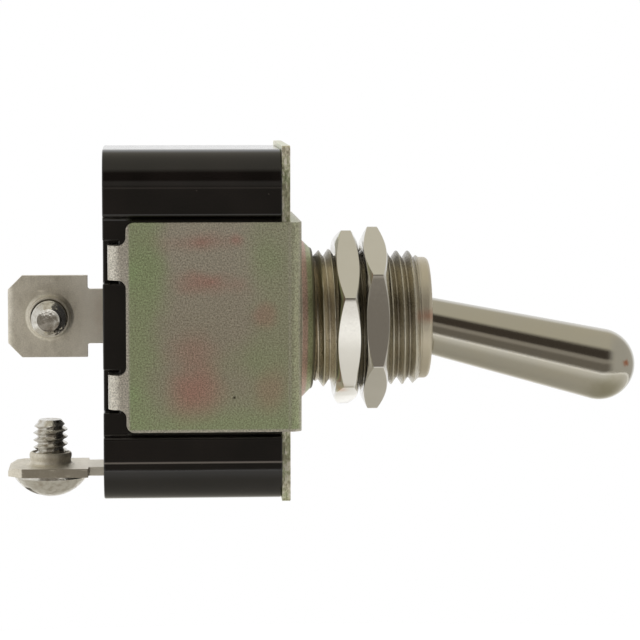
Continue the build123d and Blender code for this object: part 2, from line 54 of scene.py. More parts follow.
# Case, in millimetres as all the sizes below
CASE_BACK = -16.98
CASE_FRONT = -1.68
CASE_HALF_WIDTH = 8.75
CASE_HALF_LENGTH = 15.1
CASE_CORNER = 3.25
CAVITY_FLOOR = -14.98
CAVITY_HALF_WIDTH = 6.57
CAVITY_HALF_LENGTH = 13.2
CAVITY_CORNER = 1.4
SHEET_THICKNESS = 0.4
SHEET_SEAT_HALF_WIDTH = 7.22
SHEET_SEAT_HALF_LENGTH = 13.85
RECESS_FLOOR = 8.02
RECESS_HALF = 9.39
RECESS_EDGE = 0.35
SLOT_GAP = 0.05
POST_HALF = 1.6
POST_RANGE = (6.8, 8.6)
POST_TOP = -12.06
POST_LEAN = 8.5
POST_SINK = 0.03
RIVET_POCKET = 0.83
RIVET_PLACE = -9.33
RIVET_TAIL = 0.75
TAB_SEAT_DEPTH = 1.41
TAB_SEAT_REACH = 5.75
TAB_SEAT_HALF = 1.825

# Strap and cover plate
STRAP_THICKNESS = 0.95
STRAP_HALF_WIDTH = 9.0
STRAP_HALF_LENGTH = 8.97
STRAP_BEND = 1.0
STRAP_INNER_BEND = 0.15
FLANGE_BACK = -15.0
FLANGE_CORNER = 0.7
TAB_FACE = -16.55
TAB_HALF_WIDTH = 1.475
TAB_PLACE = 5.54
TAB_ROOT = 0.7
TAB_BEND = 1.1
TAB_INNER_BEND = 0.06
TAB_FOLD = 2.9
COLLAR_HOLE = 5.63
COLLAR_RADIUS = 6.25
COLLAR_HEIGHT = 1.3
COLLAR_FLARE = 1.1
COLLAR_LIP = 0.2
COLLAR_SINK = 0.3
COLLAR_GAP = 0.02
PLATE_FRONT = -0.95
PLATE_BACK = -1.68
PLATE_HALF_WIDTH = 7.95
PLATE_HALF_LENGTH = 15.3
PLATE_RISE = 0.15
PLATE_CORNER = 0.4
# Witness line on the case: a mould line painted pale as a highlight
WITNESS_HIGHLIGHT_LINE = 11.75
WITNESS_HIGHLIGHT_RISE = 0.15
WITNESS_HIGHLIGHT_WIDTH = 0.13

# Bushing, nuts and lever
BUSHING_TAIL = 6.15
BUSHING_BARREL = 5.6
BUSHING_BASE = 6.08
BUSHING_STEM = 5.92
BUSHING_NOSE = 5.35
NOSE_ROUND = 0.4
BUSHING_LENGTH = 11.6
THREAD_END = 10.75
THREAD_CREST_PLACE = 0.59
THREAD_STEP = 0.3
THREAD_START_SLOPE = 1.1
THREAD_END_SLOPE = 0.9
THREAD_ROOT_GAP = 0.02
BUSHING_TAIL_BORE = 4.8
BUSHING_BORE = 4.3
BUSHING_MOUTH = 3.5
BUSHING_FLARE = 0.25
MOUTH_EDGE = 0.1
BARREL_STEP = 0.05
SEAT_START = 6.88
BALL_SEAT = 3.7
PIVOT = 8.68
NUT_APOTHEM = 7.0
NUT_FACE = 6.9
NUT_THICKNESS = 2.05
NUT_CHAMFER_ANGLE = 27.0
NUT_CORNER = 0.22
NUT_BORE = 6.13
NUT_ENTRY = 0.4
NUT_SIDE_STEPS = 28
NUT_STARTS = {"inner_nut": 3.2, "outer_nut": 5.67}
NUT_TURNS = {"inner_nut": 43.25, "outer_nut": 27.5}
HALF_THROW = 13.1
BALL = 3.6
HANDLE_START = 2.635
HANDLE_NECK = 2.34
HANDLE_TIP = 3.17
HANDLE_REACH = 21.95
STUB = 1.9
STUB_LENGTH = 16.3
STUB_BORE = 1.25
STUB_CHAMFER = 0.25
STUB_BORE_START = 3.2
PIN_RADIUS = 0.8
PIN_REACH = 4.0

# Terminals and screws
TERMINAL_THICKNESS = 0.77
TERMINAL_HALF_WIDTH = 3.6
TERMINAL_NECK = 2.39
TERMINAL_END = -25.4
TERMINAL_SHOULDER = -18.4
TERMINAL_CUT = 1.25
END_BEVEL = 0.3
END_BEVEL_LENGTH = 0.6
OVERLAP = 0.5
SCREW_PLACE = -21.75
SCREW_HOLE = 1.57
TERMINAL_COLLAR = 1.84
TERMINAL_COLLAR_HEIGHT = 1.1
LOAD_TAB = -12.8
COMMON_TAB = 0.25
TENON_HALF = 1.3
TENON_END = -14.28
SHELF_TOP = -14.21
SHELF_END = -7.4
SHELF_HALF = 2.24
SHELF_BEND = 0.9
SCREW_RADIUS = 1.52
SCREW_LENGTH = 4.72
SCREW_CREST_PLACE = 0.2
SCREW_START_SLOPE = 3.0
SCREW_TIP = 0.98
SCREW_TAPER = 0.75
SCREW_TIP_HOLLOW = 0.14
HEAD_RADIUS = 3.24
HEAD_HEIGHT = 2.08
HEAD_RIM = 0.3
HEAD_EDGE = 0.06
SLOT_HALF = 0.45
SLOT_DEPTH = 0.95
LOAD_SLOT_TURN = 35.0
COMMON_SLOT_TURN = 60.0

# Camera, lamps and the board under the switch
CAMERA_PLACE = (-13.9, -254.0, 22.9)
CAMERA_AIM = (2.08, 0.0, -0.2)
CAMERA_LENS = 162.5
CAMERA_SENSOR = 36.0
CAMERA_CLIP = 10.0
LAMP_PLACES = {"lamp_overhead": (-40, -60, 260), "lamp_front": (60, -260, 120)}
LAMP_WIDTH = 200
FLOOR_REACH = 88.0
FLOOR_SQUEEZE = 0.6
FLOOR_THICKNESS = 1.0

# How far a cutting block reaches past what it cuts
PAST = 1.0

# Points round a turned piece, the lever, a thread and a screw
ROUND_STEPS = 96
LEVER_STEPS = 128
THREAD_STEPS = 144
SCREW_STEPS = 72


def linear(code):
    """A colour written as sRGB hex, as linear red, green, blue and alpha."""
    values = [int(code[i : i + 2], 16) / 255 for i in (0, 2, 4)]
    return [v / 12.92 if v <= 0.04045 else ((v + 0.055) / 1.055) ** 2.4 for v in values] + [1.0]


def length(name, text, value):
    return bpy.props.FloatProperty(
        name=name, description=text, default=value * MM, unit="LENGTH", precision=5
    )


def colour(name, text, code):
    return bpy.props.FloatVectorProperty(
        name=name, description=text, default=linear(code), subtype="COLOR", size=4, min=0.0, max=1.0
    )


class ToggleSwitchSizes(bpy.types.PropertyGroup):
    """Sizes of the detail that the solids leave out."""

    bushing_pitch: length("Bushing pitch", "Distance between the bushing's thread crests", 1.0)
    bushing_depth: length("Bushing thread depth", "Crest to root of the bushing's thread", 0.61)
    screw_pitch: length("Screw pitch", "Distance between a terminal screw's crests", 0.635)
    screw_depth: length("Screw thread depth", "Crest to root of a terminal screw's thread", 0.41)
    sheared_edge: length("Sheared edge", "Rounding along the edges of the plate", 0.13)
    strap_edge: length("Strap edge", "Rounding along the edges of the strap", 0.2)
    terminal_edge: length("Terminal edge", "Rounding along the edges of the terminals", 0.05)
    moulded_edge: length("Moulded edge", "Rounding along the edges of the case", 0.14)
    nut_edge: length("Nut edge", "Softening along the edges of the nuts", 0.06)
    floor_drop: length("Floor drop", "Depth of the floor below the bushing's axis", 45.0)


class ToggleSwitchColours(bpy.types.PropertyGroup):
    """Colours of the finishes, as the bare surface under white light."""

    phenolic: colour("Phenolic", "Moulded case", "0d0b0a")
    zinc_olive: colour("Zinc, olive", "Main tone of the strap's chromated zinc", "c9c1ae")
    zinc_green: colour("Zinc, green", "Green tone of the strap's chromated zinc", "bcd09e")
    zinc_lime: colour("Zinc, lime", "Spots beside the tabs where the film is brightest", "c3dba6")
    zinc_pink: colour("Zinc, pink", "Pink tone of the strap's chromated zinc", "dba397")
    # Pale zinc: thin film, also used as a painted highlight on edges, bends and sheared tears and as painted
    # light towards the strap's top
    zinc_pale_highlight: colour("Zinc, pale", "Thin film on the bends and tabs", "e9e4d9")
    plate_zinc: colour("Plate zinc", "Cover plate", "d3ccb6")
    nickel: colour("Nickel", "Turned and plated brass", "b9b6ad")
    nickel_bright: colour("Bright nickel", "Nuts and screws", "d9d7d2")
    nickel_dull: colour("Dull nickel", "Bushing", "c0b9a7")
    nickel_satin: colour("Satin nickel", "Terminals", "f7f2e6")
    bare_brass: colour("Bare brass", "Where the nickel is thin", "b98e62")
    copper: colour("Copper", "Rocker and cradle", "b87555")
    silver: colour("Silver", "Contact faces", "dad8d2")
    steel: colour("Steel", "Lever pin and spring", "a5a5a5")
    fibre: colour("Fibre", "Insulating sheet", "8f7b66")
    nylon: colour("Nylon", "Plunger", "d8d2c0")
    floor: colour("Floor", "Floor under the switch", "e6e4df")


class ToggleSwitchStudio(bpy.types.PropertyGroup):
    """Light round the switch, as the colour of what stands there."""

    overhead: colour("Overhead", "Soft light above", "d5d0c0")
    front: colour("Front", "Room behind the camera", "807a71")
    shelf: colour("Shelf", "Paler part of the room, a little above the camera", "a8a299")
    gap: colour("Gap", "Dark gap between the room and the light above", "4b443d")
    strip: colour("Strip", "Bright strip low in front", "faf7f2")
    table: colour("Table", "Table below", "bfbbb0")
    backdrop: colour("Backdrop", "White behind", "ffffff")
    left: colour("Left", "White card on the left", "f5f4f0")
    right: colour("Right", "Card on the right", "c8c5bd")
    fill: bpy.props.FloatProperty(
        name="Fill", description="Power of each soft fill lamp", default=0.1, min=0.0, unit="POWER"
    )


def size(name):
    """A size of the detail in millimetres."""
    return getattr(bpy.context.scene.toggle_switch_sizes, name) / MM


def tone(name):
    """A colour by its name in the panel, or by its sRGB hex."""
    colours = bpy.context.scene.toggle_switch_colours
    return list(getattr(colours, name)) if hasattr(colours, name) else linear(name)


def rounded(points, radii, steps=8):
    """A closed outline of (u, v) points with each corner rounded to its radius."""
    outline = []
    for i, point in enumerate(points):
        here = Vector(point)
        if radii[i] == 0:
            outline.append(here)
            continue
        back = (Vector(points[i - 1]) - here).normalized()
        ahead = (Vector(points[(i + 1) % len(points)]) - here).normalized()
        half = back.angle(ahead) / 2
        start = here + back * radii[i] / math.tan(half)
        centre = here + (back + ahead).normalized() * radii[i] / math.sin(half)
        arm = start - centre
        turn = math.pi - 2 * half
        if back.x * ahead.y - back.y * ahead.x > 0:
            turn = -turn
        for step in range(steps + 1):
            angle = turn * step / steps
            c, s = math.cos(angle), math.sin(angle)
            outline.append(centre + Vector((arm.x * c - arm.y * s, arm.x * s + arm.y * c)))
    return outline


def rectangle(half_u, half_v, radius):
    corners = [(half_u, -half_v), (half_u, half_v), (-half_u, half_v), (-half_u, -half_v)]
    return rounded(corners, [radius] * 4)


def softened(profile, width):
    """An open profile whose inner corners are each replaced by three points of a small round."""
    points = [Vector(p) for p in profile]
    result = [points[0]]
    for before, here, after in zip(points, points[1:], points[2:]):
        back = before - here
        ahead = after - here
        reach = min(width, back.length / 3, ahead.length / 3)
        back = back.normalized() * reach
        ahead = ahead.normalized() * reach
        result += [here + back, here + (back + ahead) / 4, here + ahead]
    return result + [points[-1]]


def object_from(mesh_builder):
    """A linked object from a bmesh, cleaned and with its normals outward."""
    bmesh.ops.remove_doubles(mesh_builder, verts=mesh_builder.verts, dist=0.0005)
    bmesh.ops.recalc_face_normals(mesh_builder, faces=mesh_builder.faces)
    mesh = bpy.data.meshes.new("draft")
    mesh_builder.to_mesh(mesh)
    mesh_builder.free()
    made = bpy.data.objects.new("draft", mesh)
    bpy.context.scene.collection.objects.link(made)
    return made


def prism(outline, low, high, axis):
    """An outline pulled along an axis. It is drawn in (y, z) for X, (x, z) for Y and (x, y) for Z."""
    place = {
        "X": lambda u, v, w: (w, u, v),
        "Y": lambda u, v, w: (u, w, v),
        "Z": lambda u, v, w: (u, v, w),
    }[axis]
    builder = bmesh.new()
    ends = [[builder.verts.new(place(u, v, w)) for u, v in outline] for w in (low, high)]
    for ring in ends:
        builder.faces.new(ring)
    for i in range(len(outline)):
        builder.faces.new([ends[0][i - 1], ends[0][i], ends[1][i], ends[1][i - 1]])
    return object_from(builder)


def block(x_range, y_range, z_range):
    (left, right), (near, far) = x_range, y_range
    return prism([(left, near), (right, near), (right, far), (left, far)], *z_range, "Z")


def rings(builder, columns, closed):
    """Faces between columns of points that stand round an axis. Closed columns are loops."""
    rows = [[builder.verts.new(point) for point in column] for column in columns]
    count = len(rows[0])
    for i, row in enumerate(rows):
        last = rows[i - 1]
        for k in range(count if closed else count - 1):
            builder.faces.new([last[k], last[(k + 1) % count], row[(k + 1) % count], row[k]])


def round_about(profile, steps):
    """The columns of an outline of (x, radius) points turned about X."""
    columns = []
    for j in range(steps):
        angle = 2 * math.pi * j / steps
        columns.append([(x, r * math.cos(angle), r * math.sin(angle)) for x, r in profile])
    return columns


def turned(profile, steps=ROUND_STEPS, closed=False):
    builder = bmesh.new()
    rings(builder, round_about(profile, steps), closed)
    return object_from(builder)


def plug(start, end, radius, end_radius=None, steps=ROUND_STEPS):
    """A round cutter along X, tapered where its end has another radius."""
    return turned([(start, 0), (start, radius), (end, end_radius or radius), (end, 0)], steps)


def arc(centre_x, centre_r, radius, start, end, steps=12):
    """Points of an arc in a turned profile, its angles in degrees from +X towards the rim."""
    points = []
    for step in range(steps + 1):
        angle = math.radians(start + (end - start) * step / steps)
        points.append((centre_x + radius * math.cos(angle), centre_r + radius * math.sin(angle)))
    return points


# Rows of one thread pitch: place along it and depth, both as shares
THREAD_ROWS = (
    (0.0, 0.0),
    (0.05, 0.03),
    (0.1, 0.14),
    (0.26, 0.53),
    (0.4, 0.89),
    (0.46, 0.98),
    (0.54, 0.98),
    (0.6, 0.89),
    (0.74, 0.53),
    (0.9, 0.14),
    (0.95, 0.03),
)


def thread(builder, start, end, crest_at, limit_at, depth, pitch, crest_place, steps=THREAD_STEPS):
    """A right-handed thread about X. Its rows follow the helix, and the limit trims each end to a circle."""
    count = len(THREAD_ROWS)
    first = math.floor((start - crest_place) / pitch) - 2
    turns = math.ceil((end - start) / pitch) + 4
    total = turns * count
    columns = []
    for j in range(steps):
        angle = 2 * math.pi * j / steps
        column = []
        for row in range(total):
            share, dip = THREAD_ROWS[row % count]
            x = crest_place + pitch * (first + row // count + share + j / steps)
            x = min(max(x, start), end)
            radius = min(crest_at(x) - depth * dip, limit_at(x))
            column.append(builder.verts.new((x, radius * math.cos(angle), radius * math.sin(angle))))
        columns.append(column)
    for j in range(steps):
        here = columns[j]
        ahead = columns[(j + 1) % steps]
        skip = count if j == steps - 1 else 0
        for row in range(total - 1 - skip):
            builder.faces.new([here[row], here[row + 1], ahead[row + 1 + skip], ahead[row + skip]])


def applied(made, kind, **settings):
    """The object with one modifier added and applied."""
    modifier = made.modifiers.new(kind, kind)
    for name, value in settings.items():
        setattr(modifier, name, value)
    graph = bpy.context.evaluated_depsgraph_get()
    mesh = bpy.data.meshes.new_from_object(made.evaluated_get(graph))
    made.modifiers.clear()
    made.data = mesh
    return made


def combined(made, other, operation):
    """The object joined with, cut by or kept inside another one, which is used up."""
    applied(made, "BOOLEAN", object=other, operation=operation, solver="EXACT")
    bpy.data.objects.remove(other)
    return made


def cut(made, other):
    return combined(made, other, "DIFFERENCE")


def bevelled(made, width, segments=3):
    """The object with its edges of more than 35 degrees rounded."""
    limit = {"limit_method": "ANGLE", "angle_limit": math.radians(35)}
    return applied(made, "BEVEL", width=width, segments=segments, use_clamp_overlap=True, **limit)


def moved(made, place, turn=0.0, axis="X"):
    """The object turned by degrees about an axis and then moved."""
    made.data.transform(Matrix.Translation(place) @ Matrix.Rotation(math.radians(turn), 4, axis))
    return made


def merged(made, *others):
    """One object of several separate shells."""
    builder = bmesh.new()
    for each in (made, *others):
        builder.from_mesh(each.data)
    builder.to_mesh(made.data)
    builder.free()
    for each in others:
        bpy.data.objects.remove(each)
    return made


def in_place(made, node, body, material, smooth_angle=32.0, flat_faces=False):
    """Scale a piece drawn in millimetres, give it its finish, and let it stand for its node."""
    made.data.transform(Matrix.Scale(MM, 4))
    made.name = node + "_dressed"
    made.data.name = made.name
    made.data.materials.clear()
    made.data.materials.append(material)
    made.data.polygons.foreach_set("use_smooth", [True] * len(made.data.polygons))
    made.data.set_sharp_from_angle(angle=math.radians(smooth_angle))
    if flat_faces:
        # The shading of a small bevel stays off the flat face beside it
        applied(made, "WEIGHTED_NORMAL", keep_sharp=True, weight=100)
    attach(made, body)
    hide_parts(node)
    return made


# Sums and measures by short name
MATHS = {
    "times": "MULTIPLY",
    "plus": "ADD",
    "minus": "SUBTRACT",
    "times plus": "MULTIPLY_ADD",
    "most": "MAXIMUM",
    "over": "GREATER_THAN",
    "under": "LESS_THAN",
    "without sign": "ABSOLUTE",
    "turn": "ARCTAN2",
}
VECTORS = {"stretch": "MULTIPLY", "from": "SUBTRACT", "distance": "LENGTH", "along": "DOT_PRODUCT"}

# Nodes by short name: kind, the sockets that values fill in turn, and settings
NODES = {
    "mix": ("ShaderNodeMix", ("Factor", 6, 7), {"data_type": "RGBA"}),
    "fade": ("ShaderNodeMapRange", range(5), {"interpolation_type": "SMOOTHSTEP"}),
    "bump": ("ShaderNodeBump", ("Height", "Distance", "Normal"), {}),
    "x y z": ("ShaderNodeSeparateXYZ", range(1), {}),
}
for node_kind, operations in (("ShaderNodeMath", MATHS), ("ShaderNodeVectorMath", VECTORS)):
    for short_name, operation in operations.items():
        NODES[short_name] = (node_kind, range(3), {"operation": operation})


def add(tree, kind, *values, **settings):
    """A new node's output. Values and other outputs fill its sockets in turn or by name. Text is a colour."""
    kind, order, usual = NODES.get(kind, (kind, range(len(values)), {}))
    node = tree.nodes.new(kind)
    for name, value in {**usual, **settings}.items():
        setattr(node, name, value)
    sockets = values[0] if values and isinstance(values[0], dict) else dict(zip(order, values))
    for name, value in sockets.items():
        if isinstance(value, bpy.types.NodeSocket):
            tree.links.new(value, node.inputs[name])
        else:
            node.inputs[name].default_value = tone(value) if isinstance(value, str) else value
    return next((each for each in node.outputs if each.enabled), None)


def new_material(name):
    """An empty material and its place in millimetres."""
    material = bpy.data.materials.new(name)
    material.use_nodes = True
    tree = material.node_tree
    tree.nodes.clear()
    place = add(tree, "ShaderNodeTexCoord").node.outputs["Object"]
    return material, tree, add(tree, "ShaderNodeVectorMath", {0: place, "Scale": 1 / MM}, operation="SCALE")


def finished(material, base, rough, *bumps, **sockets):
    """The material with its shader. Each bump is a pattern and its depth in millimetres."""
    tree = material.node_tree
    normal = []
    for pattern, depth in bumps:
        normal = [add(tree, "bump", pattern, depth * MM, *normal)]
    sockets = {"Base Color": base, "Roughness": rough, "Normal": normal[0], **sockets}
    add(tree, "ShaderNodeOutputMaterial", add(tree, "ShaderNodeBsdfPrincipled", sockets))
    return material


def noise(tree, place, per_mm, low=0.0, high=1.0, detail=3.0, stretch=(1.0, 1.0, 1.0), rough=0.5):
    """Noise with that many lumps in a millimetre, spread from low to high."""
    stretched = add(tree, "stretch", place, stretch)
    sockets = {"Vector": stretched, "Scale": per_mm, "Detail": detail, "Roughness": rough}
    pattern = add(tree, "ShaderNodeTexNoise", sockets)
    return add(tree, "ShaderNodeMapRange", pattern, 0.3, 0.7, low, high)


def spot(tree, place, centre, reach, squeeze, rough_edge=0.0):
    """A soft patch round a point: one inside, fading to zero at its reach."""
    distance = add(tree, "distance", add(tree, "stretch", add(tree, "from", place, centre), squeeze))
    return add(tree, "fade", add(tree, "plus", distance, rough_edge), 0.0, reach, 1.0, 0.0)


def coats(tree, base, *layers):
    """A colour with others laid over it in turn, each by its share."""
    for share, over in layers:
        base = add(tree, "mix", share, base, over)
    return base


def looked_at(tree):
    """One for rays from the camera, and one for rays that metal, gloss or glass sends on."""
    rays = add(tree, "ShaderNodeLightPath").node.outputs
    return rays["Is Camera Ray"], add(tree, "most", rays["Is Glossy Ray"], rays["Is Transmission Ray"])


def phenolic_moulding():
    # Phenolic compound, compression moulded: black with a warm cast and a hard gloss that waves slightly,
    # a fine witness line where each flat meets its round, painted pale as a highlight that is stronger on the
    # lower side, and a few pale specks of filler
    material, tree, place = new_material("phenolic_compression_moulded")
    tint = noise(tree, place, 0.25)
    height = add(tree, "x y z", place).node.outputs["Z"]
    # The witness line is painted pale as a highlight, stronger on the lower side
    from_middle = add(tree, "without sign", add(tree, "minus", height, WITNESS_HIGHLIGHT_RISE))
    off_witness_highlight = add(tree, "without sign", add(tree, "minus", from_middle, WITNESS_HIGHLIGHT_LINE))
    witness_highlight = add(tree, "fade", off_witness_highlight, 0.0, WITNESS_HIGHLIGHT_WIDTH, 1.0, 0.0)
    witness_highlight = add(tree, "times", witness_highlight, add(tree, "fade", height, -2.0, 2.0, 0.95, 0.1))
    specks = add(tree, "ShaderNodeTexVoronoi", {"Vector": place, "Scale": 0.6}, feature="F1")
    speck = add(tree, "times", add(tree, "under", specks, 0.025), 0.5)
    base = coats(tree, "phenolic", (tint, "171312"), (witness_highlight, "7d7773"), (speck, "6f6862"))
    gloss = noise(tree, place, 1.2, 0.06, 0.12)
    waves = noise(tree, place, 0.3, detail=1.0, stretch=(0.2, 1.0, 1.0))
    grain = noise(tree, place, 9.0, detail=2.0)
    return finished(material, base, gloss, (waves, 0.014), (grain, 0.0005), IOR=1.5)


def chromated_zinc():
    # Zinc plate with a yellow chromate film over cold rolled steel: a fine speckled grain, a warm grey sheen
    # that turns green along the left and lower edges and pink in clouds, paler towards the top as painted
    # light, and pale where it is bent
    material, tree, place = new_material("zinc_yellow_chromate_steel")
    cloud = noise(tree, place, 0.2, -1.0, 1.0, detail=4.0)
    x, y, z = add(tree, "x y z", place).node.outputs
    along = add(tree, "times plus", cloud, 0.8, x)
    up = add(tree, "times plus", cloud, 0.6, z)
    left = add(tree, "fade", along, -10.6, -13.6, 0.0, 0.7)
    low = add(tree, "fade", up, -6.6, -8.4, 0.0, 0.5)
    right = add(tree, "fade", along, -5.4, -3.4, 0.0, 0.35)
    # Paler towards the top is painted light; the green and lime are the film's own tones
    base = coats(
        tree,
        "zinc_olive",
        (add(tree, "fade", up, -3.0, 9.0, 0.0, 0.35), "zinc_pale_highlight"),
        (add(tree, "most", add(tree, "most", left, low), right), "zinc_green"),
        (add(tree, "fade", up, -3.5, -9.0, 0.0, 0.4), "zinc_lime"),
    )
    # Clouds of another tone: centre, reach, squeeze, share and colour
    clouds = (
        ((-8.4, -9.0, 7.3), 1.9, (0.38, 0.0, 1.2), 0.7, "zinc_pink"),
        ((-5.8, -9.0, 7.5), 1.4, (1.0, 0.0, 1.3), 0.7, "zinc_pink"),
        ((-7.7, -9.0, 3.9), 1.8, (0.5, 0.0, 1.0), 0.85, "zinc_pink"),
        ((-9.3, -9.0, -2.0), 2.6, (0.7, 0.0, 1.1), 0.4, "zinc_pink"),
        ((-9.4, -9.0, -5.6), 3.3, (0.95, 0.0, 0.95), 0.75, "zinc_pink"),
        ((-3.2, -9.0, 0.9), 1.4, (1.1, 0.0, 1.1), 0.4, "zinc_pink"),
        ((-2.7, -9.0, -5.4), 2.4, (1.2, 0.0, 0.9), 0.35, "zinc_pink"),
        ((-13.6, -9.0, 4.9), 3.0, (1.3, 0.0, 0.8), 0.6, "zinc_green"),
        ((-14.6, -9.0, 4.9), 1.1, (1.2, 0.0, 0.9), 0.6, "zinc_lime"),
        ((-14.4, -9.0, -5.7), 1.7, (1.1, 0.0, 0.9), 0.9, "zinc_lime"),
        ((-3.0, -9.0, 6.0), 2.2, (1.0, 0.0, 0.8), 0.4, "zinc_green"),
        ((-4.5, -9.0, -2.8), 3.0, (0.7, 0.0, 1.2), 0.35, "zinc_green"),
    )
    rough_edge = add(tree, "times", cloud, 0.6)
    for centre, reach, squeeze, share, name in clouds:
        patch = spot(tree, place, centre, reach, squeeze, rough_edge)
        base = add(tree, "mix", add(tree, "times", patch, share), base, name)
    # Paler along the lower edge, the left edge, the tabs and both sides of the bend: the film is thin there,
    # and a highlight is painted on these rounded edges and bends
    tab_pale_highlight = add(tree, "fade", x, -14.6, -14.9, 0.0, 1.0)
    lower_edge_highlight = add(tree, "fade", z, 0.3 - STRAP_HALF_LENGTH, 0.15 - STRAP_HALF_LENGTH, 0.0, 0.9)
    bend_highlight = add(tree, "fade", x, -0.4, -0.1, 0.0, 0.55)
    bend_start_highlight = add(tree, "times", spot(tree, place, (-1.05, -9.0, 0.0), 0.25, (1.0, 0.0, 0.0)), 0.3)
    thin_film_and_highlight = add(tree, "most", add(tree, "most", add(tree, "most", tab_pale_highlight, lower_edge_highlight), bend_highlight), bend_start_highlight)
    # The drawn collar: pink at its foot, green further out and darker on its lip
    grain = noise(tree, place, 7.0, detail=3.0, rough=0.85)
    base = coats(
        tree,
        base,
        # Thin film and painted highlight on the edges, tabs and bend
        (thin_film_and_highlight, "zinc_pale_highlight"),
        (add(tree, "fade", x, 0.05, 0.2, 0.0, 0.6), "zinc_pink"),
        (add(tree, "fade", x, 0.5, 0.75, 0.0, 0.75), "zinc_green"),
        (add(tree, "fade", x, 1.05, 1.12, 0.0, 0.85), "4a4233"),
        (add(tree, "fade", grain, 0.13, 0.87, 0.0, 0.62), "554f48"),
        (spot(tree, place, (-5.8, -9.0, -6.0), 0.2, (1.0, 0.0, 1.0)), "2b2620"),
    )
    return finished(material, base, noise(tree, place, 2.5, 0.38, 0.46), (grain, 0.01), Metallic=1.0)


def sheared_plate():
    # The same zinc on the plate's sheared edge: coarse tears, with a painted shade where they run dark
    # and a painted highlight where they run pale
    material, tree, place = new_material("zinc_plated_sheared_steel")
    across = add(tree, "without sign", add(tree, "x y z", place).node.outputs["Y"])
    side = add(tree, "over", across, PLATE_HALF_WIDTH - 0.16)
    tears = noise(tree, place, 2.2, detail=5.0, stretch=(2.0, 1.0, 0.8), rough=0.7)
    base = coats(
        tree,
        "plate_zinc",
        (noise(tree, place, 0.5, 0.0, 0.6), "zinc_green"),
        # Painted shade in the darker tears and a painted highlight in the paler ones
        (add(tree, "times", side, add(tree, "fade", tears, 0.25, 0.6, 0.45, 0.0)), "4f4637"),
        (add(tree, "times", side, add(tree, "fade", tears, 0.5, 0.75, 0.0, 0.9)), "zinc_pale_highlight"),
    )
    torn = add(tree, "times", side, tears)
    return finished(material, base, 0.3, (noise(tree, place, 6.0), 0.008), (torn, 0.06), Metallic=1.0)


def threaded_nickel():
    # Dull nickel on a turned brass thread: bright along the crests, brown and spotted with dirt down in the
    # roots, darker along the top as painted shade, lighter on the turns beside the strap's collar as painted
    # light, and a matte nose with a pink blush where the brass shows through
    material, tree, place = new_material("nickel_turned_brass_thread")
    x, y, z = add(tree, "x y z", place).node.outputs
    radius = add(tree, "distance", add(tree, "stretch", place, (0.0, 1.0, 1.0)))
    speckle = noise(tree, place, 6.0, detail=4.0, rough=0.75)
    in_thread = add(tree, "fade", x, THREAD_END - 0.5, THREAD_END - 0.1, 1.0, 0.0)
    dirt = add(tree, "times", add(tree, "fade", radius, 5.8, 5.35, 0.0, 0.45), in_thread)
    dirt = add(tree, "times", dirt, add(tree, "fade", speckle, 0.2, 0.8, 0.5, 1.0))
    # Darker along the top of the thread: painted shade
    top = add(tree, "fade", z, 4.4, 5.6, 0.0, 0.7)
    pitted = add(tree, "fade", speckle, 0.75, 0.88, 0.0, 0.8)
    blush = spot(tree, place, (11.2, -5.2, 0.6), 1.1, (0.6, 0.4, 1.0), add(tree, "times", speckle, 0.3))
    base = coats(
        tree,
        "nickel_dull",
        (noise(tree, place, 0.6, 0.0, 0.6), "nickel"),
        # Lighter on the turns between the strap's collar and the inner nut: painted light against their shade
        (add(tree, "fade", x, 3.4, 2.8, 0.0, 0.7), "e6decc"),
        (add(tree, "fade", x, THREAD_END - 0.2, THREAD_END, 0.0, 0.5), "d9d0be"),
        (dirt, "6b604f"),
        (add(tree, "times", top, in_thread), "5f5848"),
        (add(tree, "times", pitted, in_thread), "2f281f"),
        (add(tree, "times", blush, 0.8), "b98a76"),
    )
    rough = add(tree, "fade", x, THREAD_END - 0.3, THREAD_END, 0.2, 0.4)
    return finished(material, base, rough, (speckle, 0.014), Metallic=1.0)


def polished_nickel(axis):
    # Nickel on turned and polished brass: grey with a warm cast, fine rings left by the tool round the
    # lever, and at the tip an olive stain and a spot worn down to the brass
    material, tree, place = new_material("nickel_turned_brass_polished")
    level = add(tree, "plus", add(tree, "along", place, axis), noise(tree, place, 0.7, -0.05, 0.05))
    tool_rings = noise(tree, add(tree, "ShaderNodeCombineXYZ", level), 9.0, detail=2.0)
    stain = spot(tree, place, (27.4, -2.4, -6.6), 2.6, (0.9, 0.3, 1.1), noise(tree, place, 1.2, -0.3, 0.3))
    worn = spot(tree, place, (29.0, -2.41, -3.95), 0.5, (1.0, 0.5, 1.0), noise(tree, place, 4.0, -0.1, 0.1))
    base = coats(
        tree,
        "nickel",
        (noise(tree, place, 0.4, 0.0, 0.3), "nickel_dull"),
        (add(tree, "times", stain, 0.55), "8a8668"),
        (add(tree, "times", worn, 0.9), "a56a4c"),
    )
    speckle = noise(tree, place, 11.0, detail=2.0)
    rough = add(tree, "fade", speckle, 0.0, 1.0, 0.09, 0.15)
    return finished(material, base, rough, (tool_rings, 0.002), (speckle, 0.001), Metallic=1.0)


def milled_nickel():
    # Bright nickel on milled brass: nearly a mirror, with faint haze, and a blush of bare brass on one
    # corner of the inner nut
    material, tree, place = new_material("bright_nickel_milled_brass")
    blush = spot(tree, place, (3.4, -5.0, -6.2), 1.5, (1.2, 0.8, 0.9), noise(tree, place, 1.5, -0.2, 0.2))
    haze = noise(tree, place, 0.45, 0.0, 0.3)
    base = coats(tree, "nickel_bright", (haze, "cfccc4"), (add(tree, "times", blush, 0.8), "c08a5f"))
    scuffs = noise(tree, place, 3.0, detail=4.0, stretch=(3.0, 0.6, 0.6))
    return finished(material, base, noise(tree, place, 4.0, 0.08, 0.15), (scuffs, 0.0008), Metallic=1.0)


